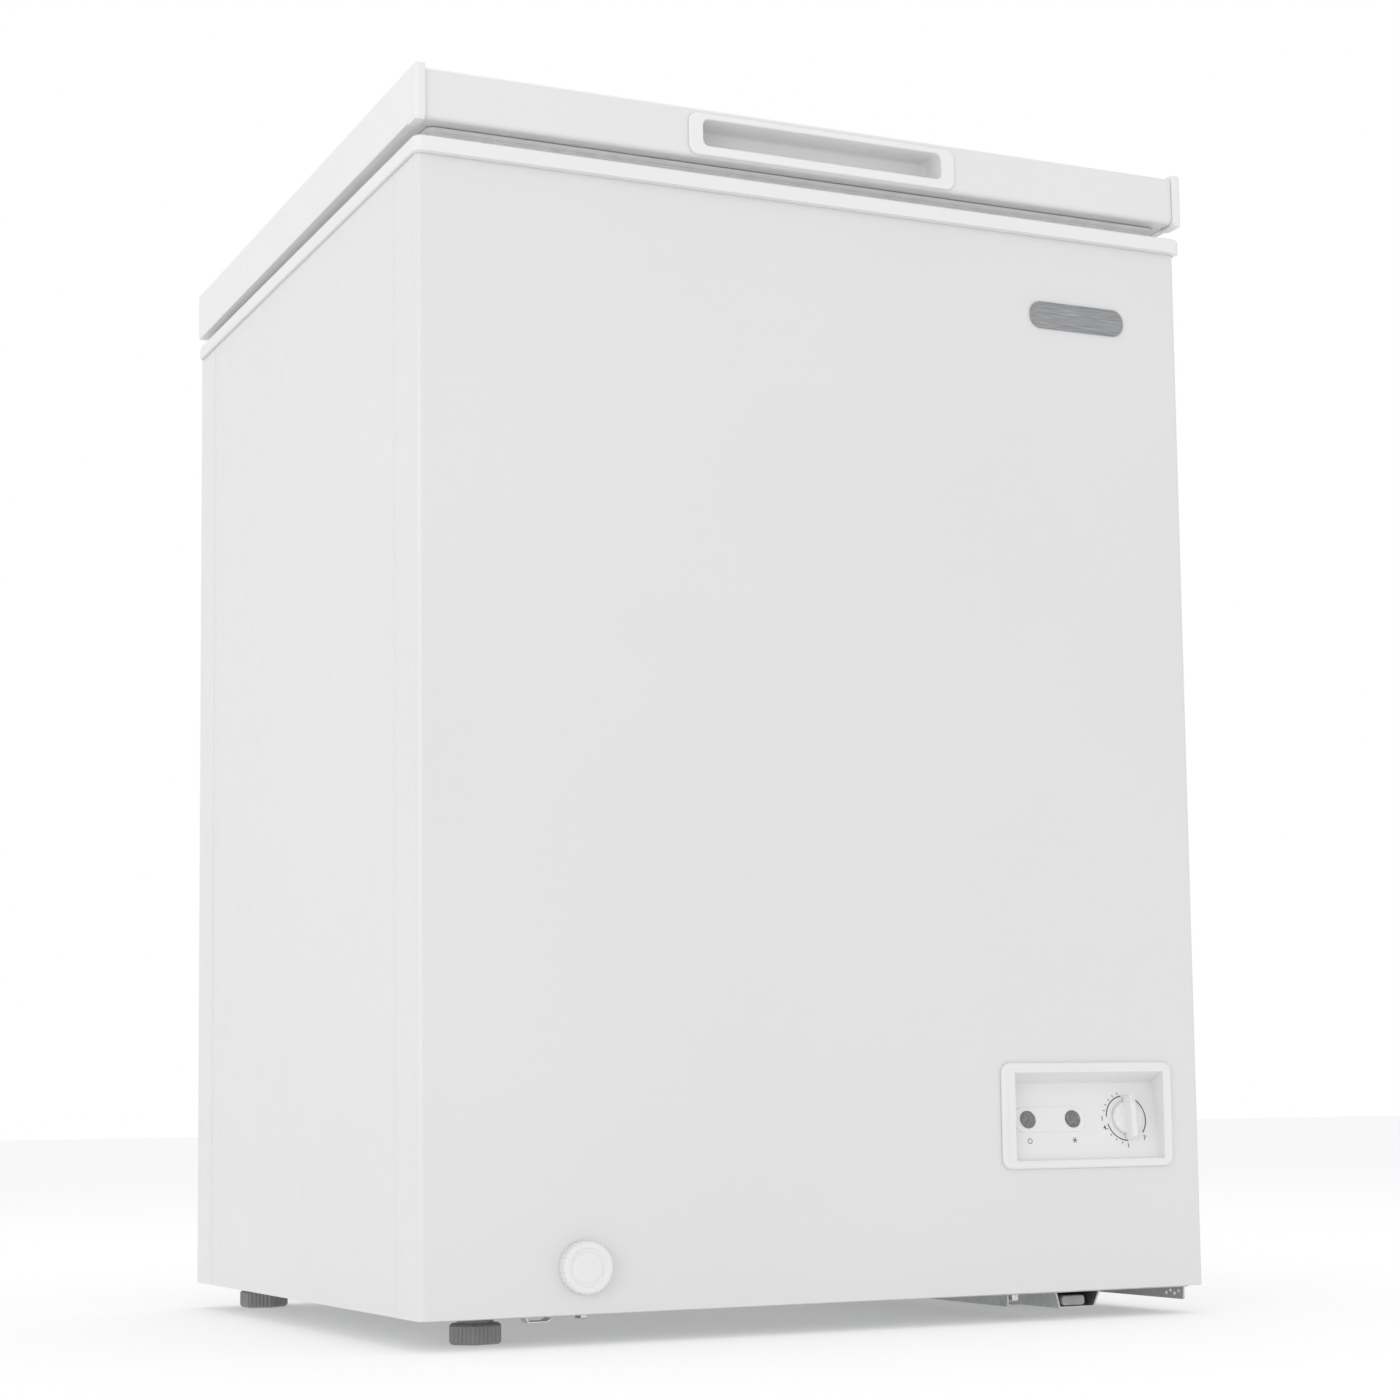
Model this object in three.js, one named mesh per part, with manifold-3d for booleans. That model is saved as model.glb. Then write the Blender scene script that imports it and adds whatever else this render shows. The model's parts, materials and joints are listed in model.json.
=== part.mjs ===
// A small chest freezer: foam-filled cabinet on levelling feet, spring-hinged lid with a recessed
// front grip, sliding wire basket, thermostat panel, front drain and a compressor bay at the right.
// Millimetres. +Z is up, +X is to the right of someone facing the front, and -Y is the front.
// Inside this file y = 0 is the middle of the cabinet's depth; the whole group is moved at the end
// so that the origin is under the middle of the object's bounding box, on the floor.

import * as THREE from 'three';
import { mergeVertices } from 'three/addons/utils/BufferGeometryUtils.js';
import Module from 'manifold-3d';

const wasm = await Module();
wasm.setup();

// ---------- driving dimensions ----------
const WIDTH = 600;             // cabinet shell, side to side
const DEPTH = 579;             // cabinet shell, front to back
const FOOT_H = 20.4;           // floor to the shell's lower edge
const RIM_BOTTOM = 794;        // top frame skirt, lower edge
const RIM_TOP = 805;           // top frame, upper face
const LID_BOTTOM = 812.3;      // underside of the lid at the hinge
const LID_TOP = 848;           // top of the lid's steel skin at the hinge
const LID_TILT = 0.0074;       // the front gasket is thicker, so the closed lid leans back (rad)
const HINGE_Y = 304;           // lid hinge axis
const HINGE_Z = 808;
const SHEET = 0.8;             // steel sheet
const GAP = 0.3;               // clearance between touching pieces
const WALL_X = 245;            // storage cavity, half width
const WALL_Y = 234.5;          // storage cavity, half depth
const CAVITY_FLOOR = 86;
const STEP_X = 75;             // compressor step inside the cavity: left face
const STEP_Z = 330;            // and its top
const LINER_T = 1.5;
const CORNER_R = 30;           // cavity corner radius
const SHELL_R = 4.5;           // bend radius of the shell's front edges
const FIELD_STEP = 0.9;        // the side walls' pressed field is this much lower
const FIELD_FRONT = -238;      // its front and rear edges
const FIELD_REAR = 246;
const LID_FRONT = -295.1;
const LID_REAR = 291.5;
const LID_SIDE = 295.2;         // the steel lid skin ends here and the end caps begin
const CAP_SIDE = 302.9;
const CAP_FRONT = -297.6;
const CAP_REAR = 292.3;
const CAP_TOP = 850;
const CAP_BOTTOM = 812;
const BAY_X = 130;             // compressor bay: left wall and ceiling
const BAY_TOP = 280;
const DRAIN_X = -186;          // drain outlet on the front
const DRAIN_Z = 51;
const DIAL_R = 17.75;
const DIAL_OUT = 10;           // how far the drain dial stands out of the front
const PANEL_TILT = 0.21;       // the control face leans back at the top (rad)
const FACE_BOTTOM = [-286, 114.5];   // y, z of the control face's lower and upper edges
const FACE_TOP = [-274.5, 168.5];
const PANEL_X = [132.5, 275.5];
const PANEL_Z = [107.5, 183.5];
const RECESS_X = [143.5, 268];
const RECESS_Z = [113.5, 175.5];
const KNOB_X = 242.7;
const LAMP_X = [159.5, 196.9];
const DIAL_Z = 142.6;          // height of knob and lamps
const FEET = { front_left: [-240, -227], rear_left: [-251, 265],
  front_right: [250, -110], rear_right: [250, 265] };

const FRONT = -DEPTH / 2;
const REAR = DEPTH / 2;
const SIDE = WIDTH / 2;
const HINGE_X = [-200, 200];
const EAR_R = 8;

// ---------- materials ----------
const paint = (color, roughness, metalness) => () => (
  new THREE.MeshStandardMaterial({ color, roughness, metalness }));
const whiteSteel = paint(0xeeeeec, 0.35, 0.1);
const whitePlastic = paint(0xf0f0ee, 0.4, 0);
const linerPlastic = paint(0xf4f5f5, 0.3, 0);
const greyPlastic = paint(0x6b6c6c, 0.6, 0);
const darkPlastic = paint(0x3c3d3e, 0.6, 0);
const galvanised = paint(0x9a9c9e, 0.45, 0.8);
const rubber = paint(0x8a8b8b, 0.8, 0);
const foamMatter = paint(0xd8cfa8, 0.95, 0);
const blackSteel = paint(0x1b1c1e, 0.4, 0.3);
const copper = paint(0xb87350, 0.35, 0.9);
const brightSteel = paint(0xc9cbcd, 0.25, 0.9);
const lensPlastic = paint(0x5d625f, 0.2, 0);
const wireWhite = paint(0xf2f2f0, 0.35, 0);

// ---------- solids ----------
const WELD = 1e-4;

function signedVolume(points, triangles) {
  const [a, b, c] = [new THREE.Vector3(), new THREE.Vector3(), new THREE.Vector3()];
  let volume = 0;
  for (let i = 0; i < triangles.length; i += 3) {
    a.fromArray(points, 3 * triangles[i]);
    b.fromArray(points, 3 * triangles[i + 1]);
    c.fromArray(points, 3 * triangles[i + 2]);
    volume += a.dot(b.cross(c));
  }
  return volume;
}

// Turns a closed three.js geometry into a solid that can be cut and joined.
function solid(geometry) {
  const bare = geometry.clone();
  bare.deleteAttribute('normal');
  bare.deleteAttribute('uv');
  const welded = mergeVertices(bare, WELD);
  const vertProperties = new Float32Array(welded.attributes.position.array);
  const triVerts = new Uint32Array(welded.index.array);
  if (signedVolume(vertProperties, triVerts) < 0) triVerts.reverse();
  return new wasm.Manifold(new wasm.Mesh({ numProp: 3, vertProperties, triVerts }));
}

function mesh(name, body, material) {
  const { vertProperties, triVerts } = body.getMesh();
  const geometry = new THREE.BufferGeometry();
  geometry.setAttribute('position', new THREE.BufferAttribute(vertProperties, 3));
  geometry.setIndex(new THREE.BufferAttribute(triVerts, 1));
  const node = new THREE.Mesh(geometry, material());
  node.name = name;
  return node;
}

const union = (bodies) => bodies.reduce((whole, body) => whole.add(body));
const cut = (body, tools) => tools.reduce((whole, tool) => whole.subtract(tool), body);

function boxGeometry([x0, x1], [y0, y1], [z0, z1]) {
  const geometry = new THREE.BoxGeometry(x1 - x0, y1 - y0, z1 - z0);
  return geometry.translate((x0 + x1) / 2, (y0 + y1) / 2, (z0 + z1) / 2);
}

const box = (x, y, z) => solid(boxGeometry(x, y, z));

function outline(points) {
  return new THREE.Shape(points.map(([u, v]) => new THREE.Vector2(u, v)));
}

function extrude(shape, length, curveSegments = 4) {
  return new THREE.ExtrudeGeometry(shape, { depth: length, bevelEnabled: false, curveSegments });
}

// Prisms along each axis. alongX takes (y, z) outlines, alongY (x, z) and alongZ (x, y).
const alongZ = (shape, [z0, z1]) => solid(extrude(shape, z1 - z0).translate(0, 0, z0));
const TO_X = new THREE.Matrix4().makeBasis(
  new THREE.Vector3(0, 1, 0), new THREE.Vector3(0, 0, 1), new THREE.Vector3(1, 0, 0));
const alongX = (shape, [x0, x1]) => (
  solid(extrude(shape, x1 - x0).applyMatrix4(TO_X).translate(x0, 0, 0)));
const alongY = (shape, [y0, y1]) => (
  solid(extrude(shape, y1 - y0).rotateX(Math.PI / 2).translate(0, y1, 0)));

function roundedRect([u0, u1], [v0, v1], r) {
  const shape = new THREE.Shape();
  shape.moveTo(u0 + r, v0);
  shape.lineTo(u1 - r, v0);
  shape.absarc(u1 - r, v0 + r, r, -Math.PI / 2, 0);
  shape.lineTo(u1, v1 - r);
  shape.absarc(u1 - r, v1 - r, r, 0, Math.PI / 2);
  shape.lineTo(u0 + r, v1);
  shape.absarc(u0 + r, v1 - r, r, Math.PI / 2, Math.PI);
  shape.lineTo(u0, v0 + r);
  shape.absarc(u0 + r, v0 + r, r, Math.PI, 1.5 * Math.PI);
  return shape;
}

// A turned body about the z axis from (radius, z) points, first and last on the axis.
function turned(points, sides = 16) {
  return new THREE.LatheGeometry(points.map(([r, z]) => new THREE.Vector2(r, z)), sides)
    .rotateX(Math.PI / 2);
}

const disc = (r, z0, z1, sides) => turned([[0, z0], [r, z0], [r, z1], [0, z1]], sides);
const rodZ = (x, y, r, [z0, z1], sides = 16) => solid(disc(r, z0, z1, sides).translate(x, y, 0));
const rodY = (x, z, r, [y0, y1], sides = 16) => (
  solid(disc(r, -y1, -y0, sides).rotateX(Math.PI / 2).translate(x, 0, z)));
const rodX = (y, z, r, [x0, x1], sides = 16) => (
  solid(disc(r, x0, x1, sides).rotateY(Math.PI / 2).translate(0, y, z)));

// A path through given points: sections fall exactly on them, mitred between neighbours.
class PointPath extends THREE.Curve {
  constructor(points) {
    super();
    this.points = points;
  }

  getPoint(t) {
    const place = t * (this.points.length - 1);
    const i = Math.min(Math.floor(place), this.points.length - 2);
    return this.points[i].clone().lerp(this.points[i + 1], place - i);
  }

  getPointAt(u) {
    return this.getPoint(u);
  }

  getTangentAt(u) {
    const last = this.points.length - 1;
    const i = Math.round(u * last);
    const before = this.points[Math.max(i - 1, 0)];
    const here = this.points[i];
    const after = this.points[Math.min(i + 1, last)];
    const into = here.clone().sub(before).normalize();
    return into.add(after.clone().sub(here).normalize()).normalize();
  }
}

// Points along straight runs whose corners are arcs of radius r.
function bentRoute(corners, r, arcSteps = 3) {
  const at = corners.map((c) => new THREE.Vector3(...c));
  const points = [at[0]];
  for (let i = 1; i < at.length - 1; i += 1) {
    const back = at[i - 1].clone().sub(at[i]).normalize();
    const on = at[i + 1].clone().sub(at[i]).normalize();
    const half = back.angleTo(on) / 2;
    const reach = r / Math.tan(half);
    const centre = at[i].clone().add(back.clone().add(on).normalize()
      .multiplyScalar(r / Math.sin(half)));
    const from = at[i].clone().addScaledVector(back, reach).sub(centre);
    const to = at[i].clone().addScaledVector(on, reach).sub(centre);
    const turn = from.angleTo(to);
    for (let k = 0; k <= arcSteps; k += 1) {
      const a = Math.sin(turn * (1 - k / arcSteps)) / Math.sin(turn);
      const b = Math.sin(turn * (k / arcSteps)) / Math.sin(turn);
      points.push(centre.clone().addScaledVector(from, a).addScaledVector(to, b));
    }
  }
  points.push(at[at.length - 1]);
  return points;
}

function tubeAlong(points, r, sides = 6) {
  const ring = [];
  for (let k = 0; k < sides; k += 1) {
    const turn = (2 * Math.PI * k) / sides;
    ring.push([r * Math.cos(turn), r * Math.sin(turn)]);
  }
  return solid(new THREE.ExtrudeGeometry(outline(ring), {
    steps: points.length - 1, bevelEnabled: false, extrudePath: new PointPath(points) }));
}

// ---------- cabinet ----------

// The U-shaped wrap seen from above, `inset` in from its outer face, walked left rear to right rear.
function wrapLine(inset) {
  const x = SIDE - inset;
  const r = SHELL_R - inset;
  const ramp = 1.5;
  const shallow = x - FIELD_STEP;
  const left = [[-x, FIELD_REAR + ramp], [-shallow, FIELD_REAR], [-shallow, FIELD_FRONT],
    [-x, FIELD_FRONT - ramp]];
  const bend = [];
  const steps = 4;
  for (let k = 0; k <= steps; k += 1) {
    const turn = (Math.PI / 2) * (k / steps);
    bend.push([-x + r - r * Math.cos(turn), FRONT + inset + r - r * Math.sin(turn)]);
  }
  const half = [[-x, REAR - inset], ...left, ...bend];
  const mirrored = half.map(([u, v]) => [-u, v]).reverse();
  return [...half, ...mirrored];
}

function outerShell() {
  const flange = 12;
  const outside = wrapLine(0);
  const inside = wrapLine(SHEET).reverse();
  const shape = outline([[-SIDE + flange, REAR], ...outside, [SIDE - flange, REAR],
    [SIDE - flange, REAR - SHEET], ...inside, [-SIDE + flange, REAR - SHEET]]);
  const wrap = alongZ(shape, [FOOT_H, RIM_TOP - 5.1]);
  const margin = 2.6;
  const panelHole = box([RECESS_X[0] - margin, RECESS_X[1] + margin], [FRONT - 1, FRONT + 2],
    [RECESS_Z[0] - margin, RECESS_Z[1] + margin]);
  const drainHole = rodY(DRAIN_X, DRAIN_Z, 11, [FRONT - 1, FRONT + 2]);
  const ventHole = box([SIDE - 3, SIDE + 1], [-20, 190], [80, 190]);
  return cut(wrap, [panelHole, drainHole, ventHole]);
}

function backPanel() {
  const plate = box([-297.5, 297.5], [REAR - 2.1, REAR - 1.1], [22, 797]);
  return plate.subtract(box([150, 275], [REAR - 3, REAR], [50, 260]));
}

function rearAccessCover() {
  const plate = box([140, 284], [REAR - 0.8, REAR + 0.4], [40, 270]);
  const slots = [];
  for (let k = 0; k < 7; k += 1) {
    slots.push(box([165, 262], [REAR - 2, REAR + 2], [130 + 18 * k, 137 + 18 * k]));
  }
  const inletHole = rodY(165, 70, 7.3, [REAR - 2, REAR + 2]);
  return cut(plate, [...slots, inletHole]);
}

function bottomPanel() {
  const plate = box([-290, BAY_X - 1], [-283, 283], [19.2, 20.1]);
  const holes = ['front_left', 'rear_left'].map((foot) => (
    rodZ(...FEET[foot], 4.6, [15, 25], 12)));
  return cut(plate, holes);
}

// The storage space grown by `o` on every side except the top, with the step over the bay.
function cavity(o, top) {
  const x = WALL_X + o;
  const y = WALL_Y + o;
  const profile = outline([[-x, CAVITY_FLOOR - o], [STEP_X + o, CAVITY_FLOOR - o],
    [STEP_X + o, STEP_Z - o], [x, STEP_Z - o], [x, top], [-x, top]]);
  const round = alongZ(roundedRect([-x, x], [-y, y], CORNER_R + o), [0, top]);
  return alongY(profile, [-y, y]).intersect(round);
}

function innerLiner() {
  const flangeTop = RIM_TOP - 3.6;
  const flange = alongZ(roundedRect([-WALL_X - 10, WALL_X + 10], [-WALL_Y - 10, WALL_Y + 10],
    CORNER_R + 10), [flangeTop - 1.2, flangeTop]);
  const tub = cavity(LINER_T, flangeTop - 0.6);
  const drainHole = rodZ(DRAIN_X, -190, 9, [70, 100]);
  return cut(tub.add(flange), [cavity(0, RIM_TOP + 5), drainHole]);
}

function foamInsulation() {
  const side = SIDE - FIELD_STEP - SHEET - GAP;
  const rear = 280.1;
  const block = alongZ(roundedRect([-side, side], [FRONT + SHEET + GAP, rear], SHELL_R),
    [FOOT_H, RIM_TOP - 5.3]);
  const tub = cavity(LINER_T + GAP, RIM_TOP);
  const coilBand = alongZ(roundedRect([-256.5, 256.5], [-246, 246], 35), [362, 620]);
  const bay = box([BAY_X, SIDE], [FRONT - 1, REAR], [0, BAY_TOP]);
  const suctionChase = box([206, 220], [236.5, 246], [279, 366]);
  const capillaryChase = box([255, 268], [100, 116], [270, 620]);
  const drainWay = rodZ(DRAIN_X, -190, 10.4, [DRAIN_Z, 100]);
  const drainRun = rodY(DRAIN_X, DRAIN_Z, 10.4, [FRONT - 1, -179]);
  const studs = ['front_left', 'rear_left'].map((foot) => (
    rodZ(...FEET[foot], 4.6, [15, 44], 12)));
  return cut(block, [tub, coilBand, bay, suctionChase, capillaryChase, drainWay, drainRun,
    ...studs]);
}

function topFrame() {
  const x = SIDE + 2.7;
  const front = FRONT - 6.3;
  const rear = REAR + 2.6;
  const outside = alongZ(roundedRect([-x, x], [front, rear], 7), [RIM_BOTTOM, RIM_TOP]);
  const room = [RIM_BOTTOM - 1, RIM_TOP - 3.3];
  const shellRoom = alongZ(roundedRect([-SIDE - GAP, SIDE + GAP], [FRONT - GAP, REAR + GAP],
    SHELL_R + GAP), room).add(box([-SIDE - GAP, SIDE + GAP], [0, REAR + GAP], room));
  const mouth = alongZ(roundedRect([-WALL_X - GAP, WALL_X + GAP], [-WALL_Y - GAP, WALL_Y + GAP],
    CORNER_R + GAP), [RIM_BOTTOM, RIM_TOP + 1]);
  return cut(outside, [shellRoom, mouth]);
}

function buildCabinet(group) {
  group.add(
    mesh('outer_shell', outerShell(), whiteSteel),
    mesh('back_panel', backPanel(), galvanised),
    mesh('rear_access_cover', rearAccessCover(), galvanised),
    mesh('bottom_panel', bottomPanel(), galvanised),
    mesh('foam_insulation', foamInsulation(), foamMatter),
    mesh('inner_liner', innerLiner(), linerPlastic),
    mesh('top_frame', topFrame(), whitePlastic),
  );
}

// ---------- feet and base ----------

function levellingFoot([x, y]) {
  const profile = [[0, 0], [16.6, 0], [18.7, 2], [18.7, 12], [16.8, 13.6], [12.4, 14], [12.4, 18.6],
    [4, 18.6], [4, 40], [0, 40]];
  return solid(turned(profile, 20).translate(x, y, 0));
}

function basePlate() {
  const plate = box([BAY_X + 0.6, 293], [-281, 281], [18.9, 20.1]);
  const leftFlange = box([145, 146.5], [-270, 270], [10, 19]);
  const rightFlange = box([291.5, 293], [-274, 270], [9.3, 19]);
  const holes = ['front_right', 'rear_right'].map((foot) => (
    rodZ(...FEET[foot], 4.6, [15, 25], 12)));
  return cut(union([plate, leftFlange, rightFlange]), holes);
}

// Open-fronted trapezoid channel under the base plate.
function baseChannel() {
  const outer = outline([[181, 18.6], [184, 7.2], [213.5, 7.2], [218.5, 18.6]]);
  const inner = outline([[182.8, 19], [185.4, 8.6], [212.4, 8.6], [216.7, 19]]);
  return alongY(outer, [-277, 277]).subtract(alongY(inner, [-278, 278]));
}

function channelPad() {
  return alongY(roundedRect([187, 206], [8.9, 16.2], 1.5), [-276.5, -262]);
}

function hexBolt(x, y, [z0, z1]) {
  return rodZ(x, y, 5, [z0, z1], 6);
}

function buildBase(group) {
  for (const [place, at] of Object.entries(FEET)) {
    group.add(mesh(`foot_${place}`, levellingFoot(at), darkPlastic));
  }
  group.add(
    mesh('compressor_base_plate', basePlate(), galvanised),
    mesh('base_channel', baseChannel(), galvanised),
    mesh('channel_pad', channelPad(), rubber),
    mesh('base_bolt_left', hexBolt(-168.5, -240, [14, 18.9]), brightSteel),
    mesh('base_bolt_right', hexBolt(155, -260, [13, 18.6]), brightSteel),
  );
}

// ---------- cooling system ----------
const COMPRESSOR = [213, 60];
const GROMMET_AT = [[-56, -62], [56, -62], [-56, 62], [56, 62]];

function compressorBody() {
  const dome = [[0, 26], [48, 26], [62, 34], [69, 52], [70, 92], [70, 98], [66, 130], [54, 154],
    [32, 168], [0, 172]];
  const core = [[0, 20], [30, 20], [30, 34], [58, 44], [61, 92], [58, 128], [44, 150], [0, 160]];
  const place = (points) => solid(turned(points, 20).scale(1, 1.2, 1).translate(...COMPRESSOR, 0));
  const [x, y] = COMPRESSOR;
  const plate = box([x - 66, x + 66], [y - 74, y + 74], [34.6, 37.6]);
  const holes = GROMMET_AT.map(([u, v]) => rodZ(x + u, y + v, 6.4, [30, 45], 12));
  return cut(place(dome).add(plate), [place(core), ...holes]);
}

function grommet([u, v]) {
  const profile = [[3.2, 20.4], [10, 20.4], [10, 34.3], [6, 34.3], [6, 40], [3.2, 40], [3.2, 20.4]];
  return solid(turned(profile, 12).translate(COMPRESSOR[0] + u, COMPRESSOR[1] + v, 0));
}

function terminalCover() {
  const x = [188, 238];
  return box(x, [-62, -24.6], [58, 112]).subtract(box([190, 236], [-60, -20], [60, 110]));
}

function filterDrier() {
  const profile = [[0, 88], [1.6, 88], [1.6, 94], [9, 104], [9, 178], [1.6, 190], [1.6, 196],
    [0, 196]];
  return solid(turned(profile, 12).translate(275, 200, 0));
}

function evaporatorRoute() {
  const turns = 5;
  const pitch = 48;
  const x = WALL_X + LINER_T + 4.8;
  const y = WALL_Y + LINER_T + 4.8;
  const corners = [[186, y, 372]];
  for (let k = 0; k < turns; k += 1) {
    const z = 372 + pitch * k;
    corners.push([-x, y, z + 0.25 * pitch], [-x, -y, z + 0.5 * pitch],
      [x, -y, z + 0.75 * pitch]);
    if (k < turns - 1) corners.push([x, y, z + pitch]);
  }
  corners.push([x, 100, 372 + (turns - 0.1) * pitch]);
  return corners;
}

function condenserRoute() {
  const y = 283.6;
  const corners = [[262, y, 290]];
  for (let k = 0; k < 3; k += 1) {
    const z = 340 + 160 * k;
    corners.push([k === 0 ? 262 : 250, y, z], [-270, y, z], [-270, y, z + 80]);
    if (k < 2) corners.push([250, y, z + 80]);
  }
  corners.push([280, y, 740], [280, y, 290]);
  return corners;
}

function capillaryRoute() {
  const evaporatorEnd = evaporatorRoute().at(-1);
  const [x, y, z] = evaporatorEnd;
  return [[275, 200, 87], [275, 200, 64], [275, 222, 64], [275, 222, 250], [262, 160, 262],
    [262, y + 8, 276], [262, y + 8, z], [x, y + 8, z], [x, y + 0.5, z]];
}

function buildCooling(group) {
  const suction = [[213, 145, 100], [213, 240.8, 100], [213, 240.8, 372], [186.4, 240.8, 372]];
  const discharge = [[262, 99, 150], [262, 240, 150], [262, 283.6, 220], [262, 283.6, 289.6]];
  const wiring = [[213, -240, 140], [213, -200, 60], [213, -110, 60], [213, -66, 85],
    [213, -62.5, 85]];
  group.add(
    mesh('compressor', compressorBody(), blackSteel),
    mesh('compressor_terminal_cover', terminalCover(), darkPlastic),
    mesh('start_relay', box([196, 230], [-57, -26], [66, 104]), darkPlastic),
    mesh('filter_drier', filterDrier(), copper),
    mesh('evaporator_coil', tubeAlong(bentRoute(evaporatorRoute(), 30), 4, 5), copper),
    mesh('condenser_coil', tubeAlong(bentRoute(condenserRoute(), 20), 2.5), copper),
    mesh('capillary_tube', tubeAlong(bentRoute(capillaryRoute(), 3.5, 2), 1.2), copper),
    mesh('suction_line', tubeAlong(bentRoute(suction, 14), 4), copper),
    mesh('discharge_line', tubeAlong(bentRoute(discharge, 14), 2.5), copper),
    mesh('wiring_harness', tubeAlong(bentRoute(wiring, 3), 3), darkPlastic),
  );
  GROMMET_AT.forEach((at, k) => {
    group.add(mesh(`compressor_grommet_${k + 1}`, grommet(at), rubber));
  });
}

// ---------- control panel ----------

// Things on the sloping control face are built flat, z out of the face, and turned into place.
function onFace(geometry, x) {
  const slope = (FACE_TOP[0] - FACE_BOTTOM[0]) / (FACE_TOP[1] - FACE_BOTTOM[1]);
  const y = FACE_BOTTOM[0] + slope * (DIAL_Z - FACE_BOTTOM[1]);
  return geometry.rotateX(Math.PI / 2 - PANEL_TILT).translate(x, y, DIAL_Z);
}

function controlBezel() {
  const flange = alongY(roundedRect(PANEL_X, PANEL_Z, 7), [FRONT - 3, FRONT - GAP]);
  const wall = 2.2;
  const [yb, zb] = FACE_BOTTOM;
  const [yt, zt] = FACE_TOP;
  const shellOutline = outline([[FRONT - 1, zb - wall - 0.8], [yb + wall, zb - wall],
    [yt + wall, zt + wall], [FRONT - 1, RECESS_Z[1] + wall]]);
  const pocket = alongX(shellOutline, [RECESS_X[0] - wall, RECESS_X[1] + wall]);
  const recess = alongX(outline([[FRONT - 4, RECESS_Z[0]], [yb, zb], [yt, zt],
    [FRONT - 4, RECESS_Z[1] + 1.4]]), RECESS_X);
  const pad = solid(onFace(extrude(roundedRect([-8.5, 48], [-9.3, 9.3], 8.9), 1.7)
    .translate(0, 0, -1), LAMP_X[0]));
  const bore = (x, r) => solid(onFace(disc(r, -10, 10, 16), x));
  const whole = union([flange, pocket]).subtract(recess).add(pad);
  return cut(whole, [bore(KNOB_X, 3.6), ...LAMP_X.map((x) => bore(x, 6.7))]);
}

function knobBody() {
  const skirt = solid(disc(11.9, 0.4, 5, 24));
  const bar = alongZ(roundedRect([-2.4, 2.4], [-16.5, 16.5], 2.2), [1.4, 12]);
  const lean = THREE.MathUtils.degToRad(-3.6);
  const shape = skirt.add(bar).getMesh();
  const geometry = new THREE.BufferGeometry();
  geometry.setAttribute('position', new THREE.BufferAttribute(shape.vertProperties, 3));
  geometry.setIndex(new THREE.BufferAttribute(shape.triVerts, 1));
  const bore = solid(onFace(disc(3.3, -1, 4, 12), KNOB_X));
  return solid(onFace(geometry.rotateZ(lean), KNOB_X)).subtract(bore);
}

function lampLens(x) {
  return solid(onFace(turned([[0, -8], [6.3, -8], [6.3, 1.1], [5, 1.7], [0, 2]], 20), x));
}

function thermostatBody() {
  const housing = solid(onFace(boxGeometry([-20, 20], [-16, 16], [-34, -5]), KNOB_X));
  return housing.subtract(solid(onFace(disc(3.4, -20, 0, 12), KNOB_X)));
}

function buildControls(group) {
  const bulb = [[254, -244.5, 128], [254, -230, 128], [254, -200, 200], [254, -200, 262]];
  group.add(
    mesh('control_bezel', controlBezel(), whitePlastic),
    mesh('thermostat_knob', knobBody(), whitePlastic),
    mesh('thermostat_shaft', solid(onFace(disc(2.9, -19, 3.6, 12), KNOB_X)), brightSteel),
    mesh('thermostat_body', thermostatBody(), greyPlastic),
    mesh('thermostat_bulb', tubeAlong(bentRoute(bulb, 8), 1.8), copper),
    mesh('power_lamp', lampLens(LAMP_X[0]), lensPlastic),
    mesh('compressor_lamp', lampLens(LAMP_X[1]), lensPlastic),
  );
}

// ---------- drain, badge, grille, inlet ----------

function drainDial() {
  const r = DIAL_R;
  const back = FRONT - GAP;
  const front = FRONT - DIAL_OUT;
  const profile = [[0, -front], [r - 1.5, -front], [r, -front - 1.5], [r, -back],
    [r - 2.2, -back], [r - 2.2, -front - 2.5], [9.4, -front - 2.5], [9.4, -back + 2],
    [7.4, -back + 2], [7.4, -front - 2.5], [0, -front - 2.5]];
  return solid(turned(profile, 24).rotateX(Math.PI / 2).translate(DRAIN_X, 0, DRAIN_Z));
}

function drainSpout() {
  const tube = rodY(DRAIN_X, DRAIN_Z, 7, [FRONT - 6.5, -232]);
  return tube.subtract(rodY(DRAIN_X, DRAIN_Z, 5, [FRONT - 8, -230]));
}

// Fixed elbow from the hole in the cavity floor to the front of the shell.
function drainElbow() {
  const top = CAVITY_FLOOR - LINER_T - GAP;
  const outer = rodZ(DRAIN_X, -190, 10, [DRAIN_Z, top])
    .add(rodY(DRAIN_X, DRAIN_Z, 10, [FRONT + 0.2, -180.2]));
  const inner = rodZ(DRAIN_X, -190, 7.4, [DRAIN_Z, top + 1])
    .add(rodY(DRAIN_X, DRAIN_Z, 7.4, [FRONT - 1, -183]));
  return outer.subtract(inner);
}

function drainPlug() {
  const profile = [[0, 72], [6, 72], [6.6, 76], [6.6, 86.4], [15, 86.4], [15, 88.6], [4, 89.4],
    [4, 95], [0, 95]];
  return solid(turned(profile, 16).translate(DRAIN_X, -190, 0));
}

function ventGrille() {
  const x0 = SIDE - FIELD_STEP + GAP;
  const flange = alongX(roundedRect([-32, 202], [68, 202], 6), [x0, x0 + 2.2]);
  const collar = box([SIDE - 6, x0 + 1], [-19, 189], [81, 189]);
  const slots = [];
  for (let k = 0; k < 8; k += 1) {
    slots.push(box([SIDE - 8, SIDE + 4], [-14, 184], [86 + 12.6 * k, 92.6 + 12.6 * k]));
  }
  return cut(flange.add(collar), slots);
}

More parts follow.
